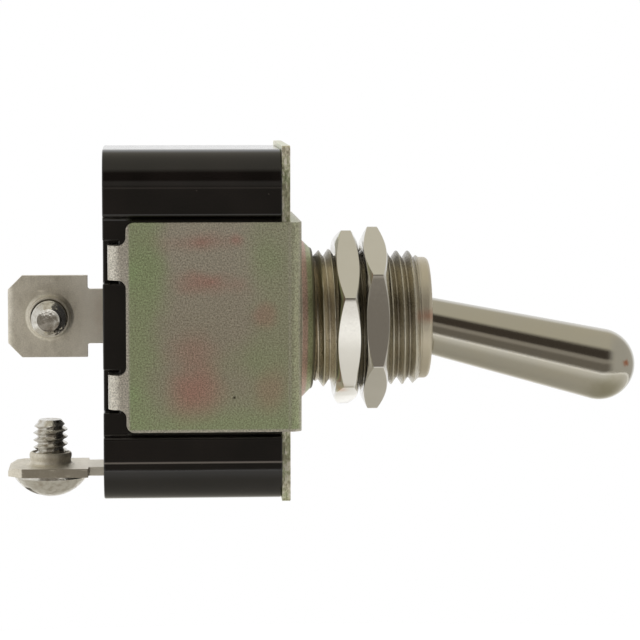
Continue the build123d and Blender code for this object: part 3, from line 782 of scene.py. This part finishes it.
def satin_terminal():
    # Nickel on blanked brass, satin from tumbling: a warm grey with fine pits, rub marks round the screw,
    # a coppery cast where the tab enters the case, a darker blanked edge on the load tab, and lighter towards
    # the case as painted light against the case's shade
    material, tree, place = new_material("satin_nickel_blanked_brass")
    x, y, z = add(tree, "x y z", place).node.outputs
    near_case = spot(tree, place, (-17.1, 0.0, 0.6), 1.3, (1.0, 0.0, 0.4), noise(tree, place, 1.8, -0.2, 0.2))
    grain = noise(tree, place, 8.0, detail=3.0, rough=0.7)
    blotch = noise(tree, place, 1.3, -0.2, 0.35, detail=4.0, stretch=(1.0, 1.0, 0.6), rough=0.65)
    side = add(tree, "over", add(tree, "without sign", y), TERMINAL_HALF_WIDTH - 0.04)
    rubs = noise(tree, place, 2.0, detail=5.0, stretch=(0.5, 0.5, 2.2), rough=0.7)
    base = coats(
        tree,
        "nickel_satin",
        (noise(tree, place, 0.5, 0.0, 0.5), "e2dccd"),
        (add(tree, "times", near_case, 0.6), "bare_brass"),
        (add(tree, "times", grain, 0.3), "6e675b"),
        (blotch, "a79f8f"),
        # Lighter towards the case: painted light against the case's shade
        (add(tree, "fade", x, -20.6, -18.4, 0.0, 0.65), "fffaf0"),
        (add(tree, "times", side, 0.7), "857c6d"),
        (add(tree, "times", add(tree, "fade", rubs, 0.72, 0.9, 0.0, 1.0), 0.6), "e4dfd4"),
    )
    # Scrapes left by the screw's start: centre, reach and squeeze
    scrapes = (
        ((-22.5, -0.8, 2.5), 0.5, (0.7, 0.0, 2.6)),
        ((-21.6, -0.8, 3.4), 0.4, (2.8, 0.0, 0.8)),
        ((-21.7, -0.8, -1.9), 0.35, (0.9, 0.0, 2.2)),
        ((-20.1, -0.8, 2.9), 0.3, (2.4, 0.0, 0.9)),
    )
    rough_edge = add(tree, "times", rubs, 0.2)
    for centre, reach, squeeze in scrapes:
        base = add(tree, "mix", spot(tree, place, centre, reach, squeeze, rough_edge), base, "fffaf0")
    return finished(material, base, noise(tree, place, 3.0, 0.48, 0.58), (grain, 0.004), Metallic=1.0)


def screw_nickel():
    # Nickel on rolled brass screws: bright and a little wavy, browner in patches
    material, tree, place = new_material("nickel_rolled_brass")
    cloud = noise(tree, place, 1.1, 0.0, 0.5)
    brown = noise(tree, place, 2.2, -0.3, 0.4)
    base = coats(tree, "nickel_bright", (cloud, "nickel"), (brown, "8d7b64"))
    dents = noise(tree, place, 1.6, detail=2.0)
    return finished(material, base, noise(tree, place, 5.0, 0.12, 0.24), (dents, 0.03), Metallic=1.0)


def rolled_metal(name, body, lined, rough_low, rough_high):
    # Rolled strip or drawn wire: faint lines along the rolling direction
    material, tree, place = new_material(name)
    lines = noise(tree, place, 4.0, detail=3.0, stretch=(1.0, 1.0, 0.12))
    base = coats(tree, body, (add(tree, "times", lines, 0.4), lined))
    rough = noise(tree, place, 3.0, rough_low, rough_high)
    return finished(material, base, rough, (lines, 0.003), Metallic=1.0)


def pressed_fibre():
    # Vulcanised fibre, pressed sheet: matte, with short pale fibres lying every way
    material, tree, place = new_material("vulcanised_fibre_pressed")
    fibres = noise(tree, place, 3.5, detail=5.0, stretch=(1.0, 0.35, 1.0), rough=0.7)
    base = coats(tree, "fibre", (fibres, "b09a80"))
    return finished(material, base, 0.75, (fibres, 0.02))


def moulded_nylon():
    # Nylon, injection moulded: milky and slightly waxy
    material, tree, place = new_material("nylon_injection_moulded")
    base = coats(tree, "nylon", (noise(tree, place, 1.0), "cbc3ae"))
    return finished(material, base, 0.42, (noise(tree, place, 6.0), 0.003), IOR=1.53)


class TOGGLESWITCH_OT_case(bpy.types.Operator):
    """Case: round-cornered moulding with a recess for each strap flange."""

    bl_idname = "toggle_switch.case"
    bl_label = "Case"

    def execute(self, context):
        outline = []
        for side in (1, -1):
            outline += [
                (side * CASE_HALF_WIDTH, -side * CASE_HALF_LENGTH),
                (side * CASE_HALF_WIDTH, -side * RECESS_HALF),
                (side * RECESS_FLOOR, -side * RECESS_HALF),
                (side * RECESS_FLOOR, side * RECESS_HALF),
                (side * CASE_HALF_WIDTH, side * RECESS_HALF),
                (side * CASE_HALF_WIDTH, side * CASE_HALF_LENGTH),
            ]
        radii = [CASE_CORNER, RECESS_EDGE, RECESS_EDGE, RECESS_EDGE, RECESS_EDGE, CASE_CORNER] * 2
        body = prism(rounded(outline, radii, steps=14), CASE_BACK, CASE_FRONT, "X")
        for side_y in (-1, 1):
            for side_z in (-1, 1):
                across = sorted((side_y * TAB_SEAT_REACH, side_y * (CASE_HALF_WIDTH + PAST)))
                up = sorted((side_z * (TAB_PLACE - TAB_SEAT_HALF), side_z * (TAB_PLACE + TAB_SEAT_HALF)))
                cut(body, block((CASE_BACK - PAST, CASE_BACK + TAB_SEAT_DEPTH), across, up))
        bevelled(body, size("moulded_edge"))
        cavity = rectangle(CAVITY_HALF_WIDTH, CAVITY_HALF_LENGTH, CAVITY_CORNER)
        cut(body, prism(cavity, CAVITY_FLOOR, CASE_FRONT + PAST, "X"))
        seat = rectangle(SHEET_SEAT_HALF_WIDTH, SHEET_SEAT_HALF_LENGTH, CAVITY_CORNER)
        cut(body, prism(seat, CASE_FRONT - SHEET_THICKNESS, CASE_FRONT + PAST, "X"))
        # Slots for the terminals, the pocket for a contact's tail and the post under the rocker
        through = (CASE_BACK - PAST, CAVITY_FLOOR + PAST)
        neck = TERMINAL_NECK + SLOT_GAP
        tab = (-SLOT_GAP, TERMINAL_THICKNESS + SLOT_GAP)
        cut(body, block(through, tab, (COMMON_TAB - neck, COMMON_TAB + neck)))
        bottom = LOAD_TAB - TERMINAL_THICKNESS - SLOT_GAP
        cut(body, block(through, (-neck, neck), (bottom, LOAD_TAB + SLOT_GAP)))
        bend = (CAVITY_FLOOR, CAVITY_FLOOR + SHELF_BEND + TERMINAL_THICKNESS)
        cut(body, block(bend, (-neck, neck), (bottom, LOAD_TAB + PAST)))
        pocket = plug(CAVITY_FLOOR - RIVET_TAIL, CAVITY_FLOOR + PAST, RIVET_POCKET, steps=48)
        cut(body, moved(pocket, (0, 0, RIVET_PLACE)))
        low, high = POST_RANGE
        lean_top = POST_TOP - (high - low) * math.tan(math.radians(POST_LEAN))
        foot = CAVITY_FLOOR - POST_SINK
        post = [(foot, low), (foot, high), (lean_top, high), (POST_TOP, low)]
        combined(body, prism(post, -POST_HALF, POST_HALF, "Y"), "UNION")
        in_place(body, "case", "body", phenolic_moulding(), flat_faces=True)
        return {"FINISHED"}


class TOGGLESWITCH_OT_cover_plate(bpy.types.Operator):
    """Cover plate: flat steel with sheared edges."""

    bl_idname = "toggle_switch.cover_plate"
    bl_label = "Cover plate"

    def execute(self, context):
        outline = rectangle(PLATE_HALF_WIDTH, PLATE_HALF_LENGTH, PLATE_CORNER)
        plate = moved(prism(outline, PLATE_BACK, PLATE_FRONT, "X"), (0, 0, PLATE_RISE))
        cut(plate, plug(PLATE_BACK - PAST, PAST, BUSHING_TAIL, BUSHING_BARREL))
        bevelled(plate, size("sheared_edge"))
        in_place(plate, "cover_plate", "body", sheared_plate(), flat_faces=True)
        return {"FINISHED"}


class TOGGLESWITCH_OT_strap(bpy.types.Operator):
    """Strap: folded steel with two flanges, four crimped tabs and the drawn collar."""

    bl_idname = "toggle_switch.strap"
    bl_label = "Strap"

    def execute(self, context):
        inner = STRAP_HALF_WIDTH - STRAP_THICKNESS
        tab_end = STRAP_HALF_WIDTH - TAB_FOLD
        tab_inner = TAB_FACE + STRAP_THICKNESS
        section = rounded(
            [
                (TAB_FACE, tab_end),
                (TAB_FACE, STRAP_HALF_WIDTH),
                (0, STRAP_HALF_WIDTH),
                (0, -STRAP_HALF_WIDTH),
                (TAB_FACE, -STRAP_HALF_WIDTH),
                (TAB_FACE, -tab_end),
                (tab_inner, -tab_end),
                (tab_inner, -inner),
                (-STRAP_THICKNESS, -inner),
                (-STRAP_THICKNESS, inner),
                (tab_inner, inner),
                (tab_inner, tab_end),
            ],
            [0, TAB_BEND, STRAP_BEND, STRAP_BEND, TAB_BEND, 0]
            + [0, TAB_INNER_BEND, STRAP_INNER_BEND, STRAP_INNER_BEND, TAB_INNER_BEND, 0],
            steps=10,
        )
        strap = prism(section, -STRAP_HALF_LENGTH, STRAP_HALF_LENGTH, "Z")
        low_tab = TAB_PLACE - TAB_HALF_WIDTH
        high_tab = TAB_PLACE + TAB_HALF_WIDTH
        clear = TAB_FACE - PAST
        side = rounded(
            [
                (PAST, -STRAP_HALF_LENGTH),
                (PAST, STRAP_HALF_LENGTH),
                (FLANGE_BACK, STRAP_HALF_LENGTH),
                (FLANGE_BACK, high_tab),
                (clear, high_tab),
                (clear, low_tab),
                (FLANGE_BACK, low_tab),
                (FLANGE_BACK, -low_tab),
                (clear, -low_tab),
                (clear, -high_tab),
                (FLANGE_BACK, -high_tab),
                (FLANGE_BACK, -STRAP_HALF_LENGTH),
            ],
            [0, 0, FLANGE_CORNER, TAB_ROOT, 0, 0, TAB_ROOT, TAB_ROOT, 0, 0, TAB_ROOT, FLANGE_CORNER],
            steps=8,
        )
        combined(strap, prism(side, -STRAP_HALF_WIDTH - PAST, STRAP_HALF_WIDTH + PAST, "Y"), "INTERSECT")
        cut(strap, plug(-2 * PAST, PAST, COLLAR_HOLE + COLLAR_GAP))
        bevelled(strap, size("strap_edge"))
        rim = COLLAR_RADIUS + COLLAR_FLARE
        lip = COLLAR_RADIUS - COLLAR_LIP
        profile = [(-COLLAR_SINK, COLLAR_HOLE), (COLLAR_HEIGHT, COLLAR_HOLE), (COLLAR_HEIGHT, lip)]
        profile += arc(COLLAR_HEIGHT - COLLAR_LIP, lip, COLLAR_LIP, 0, 90, 5)
        profile += [(COLLAR_FLARE, COLLAR_RADIUS), (0, rim), (-COLLAR_SINK, rim)]
        merged(strap, turned(profile, closed=True))
        in_place(strap, "mounting_strap", "body", chromated_zinc(), flat_faces=True)
        return {"FINISHED"}


class TOGGLESWITCH_OT_bushing(bpy.types.Operator):
    """Bushing: turned barrel with its real thread, a plain nose and the ball's seat inside."""

    bl_idname = "toggle_switch.bushing"
    bl_label = "Bushing"

    def execute(self, context):
        depth = size("bushing_depth")
        step_end = NUT_STARTS["outer_nut"] + NUT_THICKNESS
        root = BUSHING_STEM - depth - THREAD_ROOT_GAP

        def crest(x):
            share = min(max((x - step_end) / THREAD_STEP, 0.0), 1.0)
            return BUSHING_BASE + (BUSHING_STEM - BUSHING_BASE) * share

        def limit(x):
            start_limit = root + THREAD_START_SLOPE * (x - COLLAR_HEIGHT)
            return min(start_limit, BUSHING_NOSE + THREAD_END_SLOPE * (THREAD_END - x))

        builder = bmesh.new()
        pitch = size("bushing_pitch")
        thread(builder, COLLAR_HEIGHT, THREAD_END, crest, limit, depth, pitch, THREAD_CREST_PLACE)
        mouth_meet = PIVOT + math.sqrt(BALL_SEAT**2 - BUSHING_MOUTH**2)
        meet_angle = math.degrees(math.asin(BUSHING_MOUTH / BALL_SEAT))
        nose = [(THREAD_END, BUSHING_NOSE)]
        nose += arc(BUSHING_LENGTH - NOSE_ROUND, BUSHING_NOSE - NOSE_ROUND, NOSE_ROUND, 90, 0, 6)
        flare = BUSHING_MOUTH + BUSHING_FLARE
        nose += [(BUSHING_LENGTH, flare + MOUTH_EDGE), (BUSHING_LENGTH - MOUTH_EDGE, flare - MOUTH_EDGE / 2)]
        nose += [(BUSHING_LENGTH - BUSHING_FLARE - MOUTH_EDGE, BUSHING_MOUTH), (mouth_meet, BUSHING_MOUTH)]
        nose += arc(PIVOT, 0, BALL_SEAT, meet_angle, 90, 10)[1:]
        nose += [(SEAT_START, BALL_SEAT), (SEAT_START, BUSHING_BORE), (COLLAR_HEIGHT, BUSHING_BORE)]
        nose += [(COLLAR_HEIGHT, BUSHING_TAIL_BORE), (PLATE_BACK, BUSHING_TAIL_BORE)]
        nose += [(PLATE_BACK, BUSHING_TAIL), (PLATE_FRONT, BUSHING_BARREL)]
        nose += [(COLLAR_HEIGHT - BARREL_STEP, BUSHING_BARREL), (COLLAR_HEIGHT, root)]
        rings(builder, round_about(nose, THREAD_STEPS), False)
        bushing = object_from(builder)
        reach = PIN_REACH + SLOT_GAP
        half = PIN_RADIUS + SLOT_GAP
        cut(bushing, block((SEAT_START - PAST, PIVOT), (-reach, reach), (-half, half)))
        in_place(bushing, "bushing", "body", threaded_nickel(), smooth_angle=48.0)
        return {"FINISHED"}


class TOGGLESWITCH_OT_nuts(bpy.types.Operator):
    """Two hexagon nuts, chamfered on both faces."""

    bl_idname = "toggle_switch.nuts"
    bl_label = "Nuts"

    def execute(self, context):
        material = milled_nickel()
        corner = NUT_APOTHEM / math.cos(math.radians(30))
        rise_share = math.tan(math.radians(NUT_CHAMFER_ANGLE))
        for node, start in NUT_STARTS.items():
            angles = [math.radians(NUT_TURNS[node] + 60 * k) for k in range(6)]
            corners = [(corner * math.cos(a), corner * math.sin(a)) for a in angles]
            outline = []
            rounds = rounded(corners, [NUT_CORNER] * 6, steps=4)
            for k, point in enumerate(rounds):
                outline.append(point)
                after = rounds[(k + 1) % len(rounds)]
                if (after - point).length > 1:
                    outline += [point.lerp(after, step / NUT_SIDE_STEPS) for step in range(1, NUT_SIDE_STEPS)]
            columns = []
            for point in outline:
                reach = point.length
                rise = (reach - NUT_FACE) * rise_share
                profile = [
                    (NUT_ENTRY, NUT_BORE),
                    (0, NUT_BORE + NUT_ENTRY),
                    (0, NUT_FACE),
                    (rise, reach),
                    (NUT_THICKNESS - rise, reach),
                    (NUT_THICKNESS, NUT_FACE),
                    (NUT_THICKNESS, NUT_BORE + NUT_ENTRY),
                    (NUT_THICKNESS - NUT_ENTRY, NUT_BORE),
                ]
                way = point / reach
                profile = softened(profile, size("nut_edge"))
                columns.append([(start + x, r * way.x, r * way.y) for x, r in profile])
            builder = bmesh.new()
            rings(builder, columns, True)
            in_place(object_from(builder), node, node, material)
        return {"FINISHED"}


class TOGGLESWITCH_OT_lever(bpy.types.Operator):
    """Lever: tapered bat handle, ball and hollow stub, turned in one piece."""

    bl_idname = "toggle_switch.lever"
    bl_label = "Lever"

    def execute(self, context):
        tip_centre = HANDLE_REACH - HANDLE_TIP
        taper = math.degrees(math.atan2(HANDLE_TIP - HANDLE_NECK, tip_centre))
        neck_angle = math.degrees(math.acos(HANDLE_START / BALL))
        stub_meet = math.degrees(math.asin(STUB / BALL))
        profile = [(-STUB_BORE_START, 0), (-STUB_BORE_START, STUB_BORE), (-STUB_LENGTH, STUB_BORE)]
        profile += [(-STUB_LENGTH, STUB - STUB_CHAMFER), (-STUB_LENGTH + STUB_CHAMFER, STUB)]
        profile += arc(0, 0, BALL, 180 - stub_meet, neck_angle, 24)
        profile += arc(tip_centre, 0, HANDLE_TIP, 90 + taper, 0, 24)
        lever = moved(turned(profile, LEVER_STEPS), (PIVOT, 0, 0), HALF_THROW, "Y")
        axis = (math.cos(math.radians(HALF_THROW)), 0.0, -math.sin(math.radians(HALF_THROW)))
        in_place(lever, "lever", "lever", polished_nickel(axis))
        return {"FINISHED"}


def tab_piece():
    """A terminal tab up to the case's floor, its face up at zero and its collar above it."""
    outline = rounded(
        [
            (CAVITY_FLOOR, -TERMINAL_NECK),
            (CAVITY_FLOOR, TERMINAL_NECK),
            (TERMINAL_SHOULDER, TERMINAL_NECK),
            (TERMINAL_SHOULDER, TERMINAL_HALF_WIDTH),
            (TERMINAL_END + TERMINAL_CUT, TERMINAL_HALF_WIDTH),
            (TERMINAL_END, TERMINAL_HALF_WIDTH - TERMINAL_CUT),
            (TERMINAL_END, TERMINAL_CUT - TERMINAL_HALF_WIDTH),
            (TERMINAL_END + TERMINAL_CUT, -TERMINAL_HALF_WIDTH),
            (TERMINAL_SHOULDER, -TERMINAL_HALF_WIDTH),
            (TERMINAL_SHOULDER, -TERMINAL_NECK),
        ],
        [0, 0, 0.18, 0.05, 0.12, 0.12, 0.12, 0.12, 0.05, 0.18],
        steps=4,
    )
    tab = prism(outline, -TERMINAL_THICKNESS, 0, "Z")
    below = -TERMINAL_THICKNESS - PAST
    section = [
        (CAVITY_FLOOR + PAST, below),
        (CAVITY_FLOOR + PAST, PAST),
        (TERMINAL_END + END_BEVEL_LENGTH, PAST),
        (TERMINAL_END + END_BEVEL_LENGTH, 0),
        (TERMINAL_END - PAST, -END_BEVEL * (1 + PAST / END_BEVEL_LENGTH)),
        (TERMINAL_END - PAST, below),
    ]
    keep = prism(section, -TERMINAL_HALF_WIDTH - PAST, TERMINAL_HALF_WIDTH + PAST, "Y")
    combined(tab, keep, "INTERSECT")
    cut(tab, moved(plug(-3 * PAST, 3 * PAST, SCREW_HOLE), (SCREW_PLACE, 0, 0), -90, "Y"))
    bevelled(tab, size("terminal_edge"), segments=2)
    top = TERMINAL_COLLAR_HEIGHT
    profile = [
        (-TERMINAL_THICKNESS, SCREW_HOLE),
        (top - 0.12, SCREW_HOLE),
        (top, SCREW_HOLE + 0.07),
        (top, TERMINAL_COLLAR - 0.14),
        (top - 0.06, TERMINAL_COLLAR - 0.04),
        (top - 0.2, TERMINAL_COLLAR + 0.02),
        (top - 0.42, TERMINAL_COLLAR + 0.02),
        (top - 0.66, TERMINAL_COLLAR - 0.05),
        (0.26, TERMINAL_COLLAR - 0.04),
        (0.13, TERMINAL_COLLAR + 0.02),
        (0.04, TERMINAL_COLLAR + 0.16),
        (-0.02, TERMINAL_COLLAR + 0.34),
        (-0.1, TERMINAL_COLLAR + 0.34),
    ]
    collar = turned(profile, closed=True, steps=SCREW_STEPS)
    return merged(tab, moved(collar, (SCREW_PLACE, 0, 0), -90, "Y"))


class TOGGLESWITCH_OT_terminals(bpy.types.Operator):
    """Two terminal tabs, each with a drawn and tapped collar."""

    bl_idname = "toggle_switch.terminals"
    bl_label = "Terminals"

    def execute(self, context):
        material = satin_terminal()
        common = tab_piece()
        start = CAVITY_FLOOR - OVERLAP
        merged(common, block((start, TENON_END), (-TENON_HALF, TENON_HALF), (-TERMINAL_THICKNESS, 0)))
        moved(common, (0, 0, COMMON_TAB), 90, "X")
        in_place(common, "common_terminal", "body", material, flat_faces=True)
        load = tab_piece()
        section = rounded(
            [
                (start, -TERMINAL_THICKNESS),
                (SHELF_TOP, -TERMINAL_THICKNESS),
                (SHELF_TOP, SHELF_END - LOAD_TAB),
                (CAVITY_FLOOR, SHELF_END - LOAD_TAB),
                (CAVITY_FLOOR, 0),
                (start, 0),
            ],
            [0, SHELF_BEND, 0, 0, 0, 0],
        )
        merged(load, prism(section, -SHELF_HALF, SHELF_HALF, "Y"))
        moved(load, (0, 0, LOAD_TAB))
        in_place(load, "load_terminal", "body", material, flat_faces=True)
        return {"FINISHED"}


def screw_piece(slot_turn):
    """A binding-head screw about X: the shank runs to +X from zero and the head lies below it."""
    depth = size("screw_depth")
    root = SCREW_RADIUS - depth - 0.01

    def crest(x):
        return SCREW_RADIUS

    def limit(x):
        return min(root + SCREW_START_SLOPE * x, SCREW_TIP + SCREW_TAPER * (SCREW_LENGTH - x))

    builder = bmesh.new()
    pitch = size("screw_pitch")
    thread(builder, 0, SCREW_LENGTH, crest, limit, depth, pitch, SCREW_CREST_PLACE, steps=SCREW_STEPS)
    dome_rise = HEAD_HEIGHT - HEAD_RIM
    dome = (HEAD_RADIUS**2 + dome_rise**2) / (2 * dome_rise)
    dome_centre = -HEAD_HEIGHT + dome
    edge = math.degrees(math.asin(HEAD_RADIUS / dome))
    hollow = SCREW_LENGTH - SCREW_TIP_HOLLOW
    profile = [(hollow, 0), (hollow + 0.01, 0.3), (hollow + 0.05, 0.6), (SCREW_LENGTH, SCREW_TIP)]
    rings(builder, round_about(profile, SCREW_STEPS), False)
    profile = [(0, root), (0, HEAD_RADIUS - HEAD_EDGE), (-HEAD_EDGE, HEAD_RADIUS)]
    profile += [(-HEAD_RIM + 0.05, HEAD_RADIUS)]
    profile += arc(dome_centre, 0, dome, 180 - edge, 180, 20)
    rings(builder, round_about(profile, SCREW_STEPS), False)
    screw = object_from(builder)
    reach = HEAD_RADIUS + PAST
    slot = block((-HEAD_HEIGHT - PAST, SLOT_DEPTH - HEAD_HEIGHT), (-SLOT_HALF, SLOT_HALF), (-reach, reach))
    return cut(screw, moved(slot, (0, 0, 0), slot_turn))


class TOGGLESWITCH_OT_screws(bpy.types.Operator):
    """Two terminal screws with rolled threads and slotted heads."""

    bl_idname = "toggle_switch.screws"
    bl_label = "Screws"

    def execute(self, context):
        material = screw_nickel()
        common = screw_piece(COMMON_SLOT_TURN)
        moved(common, (SCREW_PLACE, TERMINAL_THICKNESS, COMMON_TAB), -90, "Z")
        in_place(common, "common_screw", "common_screw", material)
        load = screw_piece(LOAD_SLOT_TURN)
        moved(load, (SCREW_PLACE, 0, LOAD_TAB - TERMINAL_THICKNESS), -90, "Y")
        in_place(load, "load_screw", "load_screw", material)
        return {"FINISHED"}


class TOGGLESWITCH_OT_inner_works(bpy.types.Operator):
    """Finishes for the solids inside the case, which keep their shapes."""

    bl_idname = "toggle_switch.inner_works"
    bl_label = "Inner works"

    def execute(self, context):
        copper = rolled_metal("copper_rolled_strip", "copper", "8f5a44", 0.25, 0.4)
        silver = rolled_metal("silver_contact_rivet", "silver", "b5b2aa", 0.12, 0.25)
        steel = rolled_metal("steel_drawn", "steel", "7d7d7d", 0.2, 0.35)
        finishes = {
            "insulating_sheet": pressed_fibre(),
            "lever_pin": steel,
            "plunger": moulded_nylon(),
            "plunger_spring": steel,
            "rocker_contact": copper,
            "moving_contact_button": silver,
            "fixed_contact_button": silver,
            "fulcrum_cradle": copper,
        }
        for name, material in finishes.items():
            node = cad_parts[name]
            node.data.materials.clear()
            node.data.materials.append(material)
        return {"FINISHED"}


def stand(data, place, aim):
    """A camera or lamp in its place, turned towards what it looks at."""
    made = bpy.data.objects.new(data.name, data)
    bpy.context.scene.collection.objects.link(made)
    made.location = Vector(place) * MM
    made.rotation_euler = (Vector(aim) * MM - made.location).to_track_quat("-Z", "Y").to_euler()
    return made


class TOGGLESWITCH_OT_studio(bpy.types.Operator):
    """Camera, pale floor, white surroundings and soft lamps."""

    bl_idname = "toggle_switch.studio"
    bl_label = "Studio"

    def execute(self, context):
        scene = context.scene
        studio = scene.toggle_switch_studio
        camera = bpy.data.cameras.new("camera")
        camera.lens = CAMERA_LENS
        camera.sensor_width = CAMERA_SENSOR
        camera.clip_start = CAMERA_CLIP * MM
        scene.camera = stand(camera, CAMERA_PLACE, CAMERA_AIM)
        scene.view_settings.view_transform = "Standard"

        world = bpy.data.worlds.new("studio")
        scene.world = world
        world.use_nodes = True
        tree = world.node_tree
        tree.nodes.clear()
        way = add(tree, "ShaderNodeTexCoord").node.outputs["Generated"]
        x, y, z = add(tree, "x y z", way).node.outputs
        turn = add(tree, "turn", z, add(tree, "times", y, -1.0))
        around = add(tree, "ShaderNodeValToRGB", add(tree, "times plus", turn, 1 / (2 * math.pi), 0.5))
        # Angle from the horizon on the camera's side, up and over, and what stands there
        levels = [
            (-147, "backdrop"),
            (-137, "table"),
            (-64, "table"),
            (-55, "strip"),
            (-26, "strip"),
            (-19, "front"),
            (3, "front"),
            (8, "shelf"),
            (17, "shelf"),
            (22, "gap"),
            (47, "gap"),
            (60, "overhead"),
            (180, "overhead"),
        ]
        stops = around.node.color_ramp.elements
        stops.remove(stops[1])
        stops[0].position = 0.0
        stops[0].color = studio.backdrop
        for angle, name in levels:
            stops.new(angle / 360 + 0.5).color = getattr(studio, name)
        for name, side in (("left", -1.0), ("right", 1.0)):
            share = add(tree, "fade", add(tree, "times", x, side), 0.3, 0.75, 0.0, 1.0)
            around = add(tree, "mix", share, around, list(getattr(studio, name)))
        # The background is white to the eye, and so is the part behind the switch that metal and gloss mirror
        seen, mirrored = looked_at(tree)
        behind = add(tree, "fade", y, 0.6, 0.85, 0.0, 1.0)
        white = add(tree, "most", seen, add(tree, "times", mirrored, behind))
        around = add(tree, "mix", white, around, "ffffff")
        add(tree, "ShaderNodeOutputWorld", add(tree, "ShaderNodeBackground", around, 1.0))

        for name, lamp_place in LAMP_PLACES.items():
            lamp = bpy.data.lights.new(name, "AREA")
            lamp.energy = studio.fill
            lamp.size = LAMP_WIDTH * MM
            stand(lamp, lamp_place, (0, 0, 0)).visible_glossy = False

        # Painted board: pale and matte. Away from the switch it glows white, a painted light that metal also
        # mirrors, and beneath the switch the glow fades out, so the board there is darker as painted shade on
        # top of its own shadow
        material, tree, place = new_material("painted_board_floor")
        shade = coats(tree, "floor", (noise(tree, place, 0.02, 0.0, 0.3), "dfddd8"))
        board = add(tree, "ShaderNodeBsdfPrincipled", {"Base Color": shade, "Roughness": 0.9})
        # The glow is painted light, and where it fades out beneath the switch it leaves a painted shade
        away = add(tree, "distance", add(tree, "stretch", place, (FLOOR_SQUEEZE, 1.0, 0.0)))
        near_painted_glow = add(tree, "fade", away, 26.0, 60.0, 0.0, 0.3)
        far_painted_glow = add(tree, "fade", away, 66.0, 86.0, 0.0, 0.5)
        painted_glow_share = add(tree, "plus", near_painted_glow, far_painted_glow)
        painted_glow_strength = add(tree, "times", painted_glow_share, add(tree, "most", *looked_at(tree)))
        painted_glow = add(tree, "ShaderNodeEmission", "f6f9ff", painted_glow_strength)
        add(tree, "ShaderNodeOutputMaterial", add(tree, "ShaderNodeAddShader", board, painted_glow))
        angles = [math.radians(3 * k) for k in range(120)]
        rim = [(FLOOR_REACH / FLOOR_SQUEEZE * math.cos(a), FLOOR_REACH * math.sin(a)) for a in angles]
        top = -size("floor_drop")
        floor = prism(rim, top - FLOOR_THICKNESS, top, "Z")
        floor.data.transform(Matrix.Scale(MM, 4))
        floor.name = "floor"
        floor.data.materials.append(material)
        return {"FINISHED"}


STEPS = (
    TOGGLESWITCH_OT_case,
    TOGGLESWITCH_OT_cover_plate,
    TOGGLESWITCH_OT_strap,
    TOGGLESWITCH_OT_bushing,
    TOGGLESWITCH_OT_nuts,
    TOGGLESWITCH_OT_lever,
    TOGGLESWITCH_OT_terminals,
    TOGGLESWITCH_OT_screws,
    TOGGLESWITCH_OT_inner_works,
    TOGGLESWITCH_OT_studio,
)


class TOGGLESWITCH_PT_sidebar(bpy.types.Panel):
    """Lists the switch's pieces, sizes, colours and light."""

    bl_label = "Toggle switch"
    bl_space_type = "VIEW_3D"
    bl_region_type = "UI"
    bl_category = "Toggle switch"

    def draw(self, context):
        for step in STEPS:
            self.layout.operator(step.bl_idname)
        for name in GROUPS:
            group = getattr(context.scene, name)
            for field in group.bl_rna.properties:
                if field.identifier not in ("name", "rna_type"):
                    self.layout.prop(group, field.identifier)


GROUPS = {
    "toggle_switch_sizes": ToggleSwitchSizes,
    "toggle_switch_colours": ToggleSwitchColours,
    "toggle_switch_studio": ToggleSwitchStudio,
}


def register():
    for name, group in GROUPS.items():
        bpy.utils.register_class(group)
        setattr(bpy.types.Scene, name, bpy.props.PointerProperty(type=group))
    for each in (*STEPS, TOGGLESWITCH_PT_sidebar):
        bpy.utils.register_class(each)


def unregister():
    for each in (TOGGLESWITCH_PT_sidebar, *reversed(STEPS)):
        bpy.utils.unregister_class(each)
    for name, group in GROUPS.items():
        delattr(bpy.types.Scene, name)
        bpy.utils.unregister_class(group)


def main():
    register()
    bpy.ops.toggle_switch.case()
    bpy.ops.toggle_switch.cover_plate()
    bpy.ops.toggle_switch.strap()
    bpy.ops.toggle_switch.bushing()
    bpy.ops.toggle_switch.nuts()
    bpy.ops.toggle_switch.lever()
    bpy.ops.toggle_switch.terminals()
    bpy.ops.toggle_switch.screws()
    bpy.ops.toggle_switch.inner_works()
    bpy.ops.toggle_switch.studio()


if __name__ == "__main__":
    main()
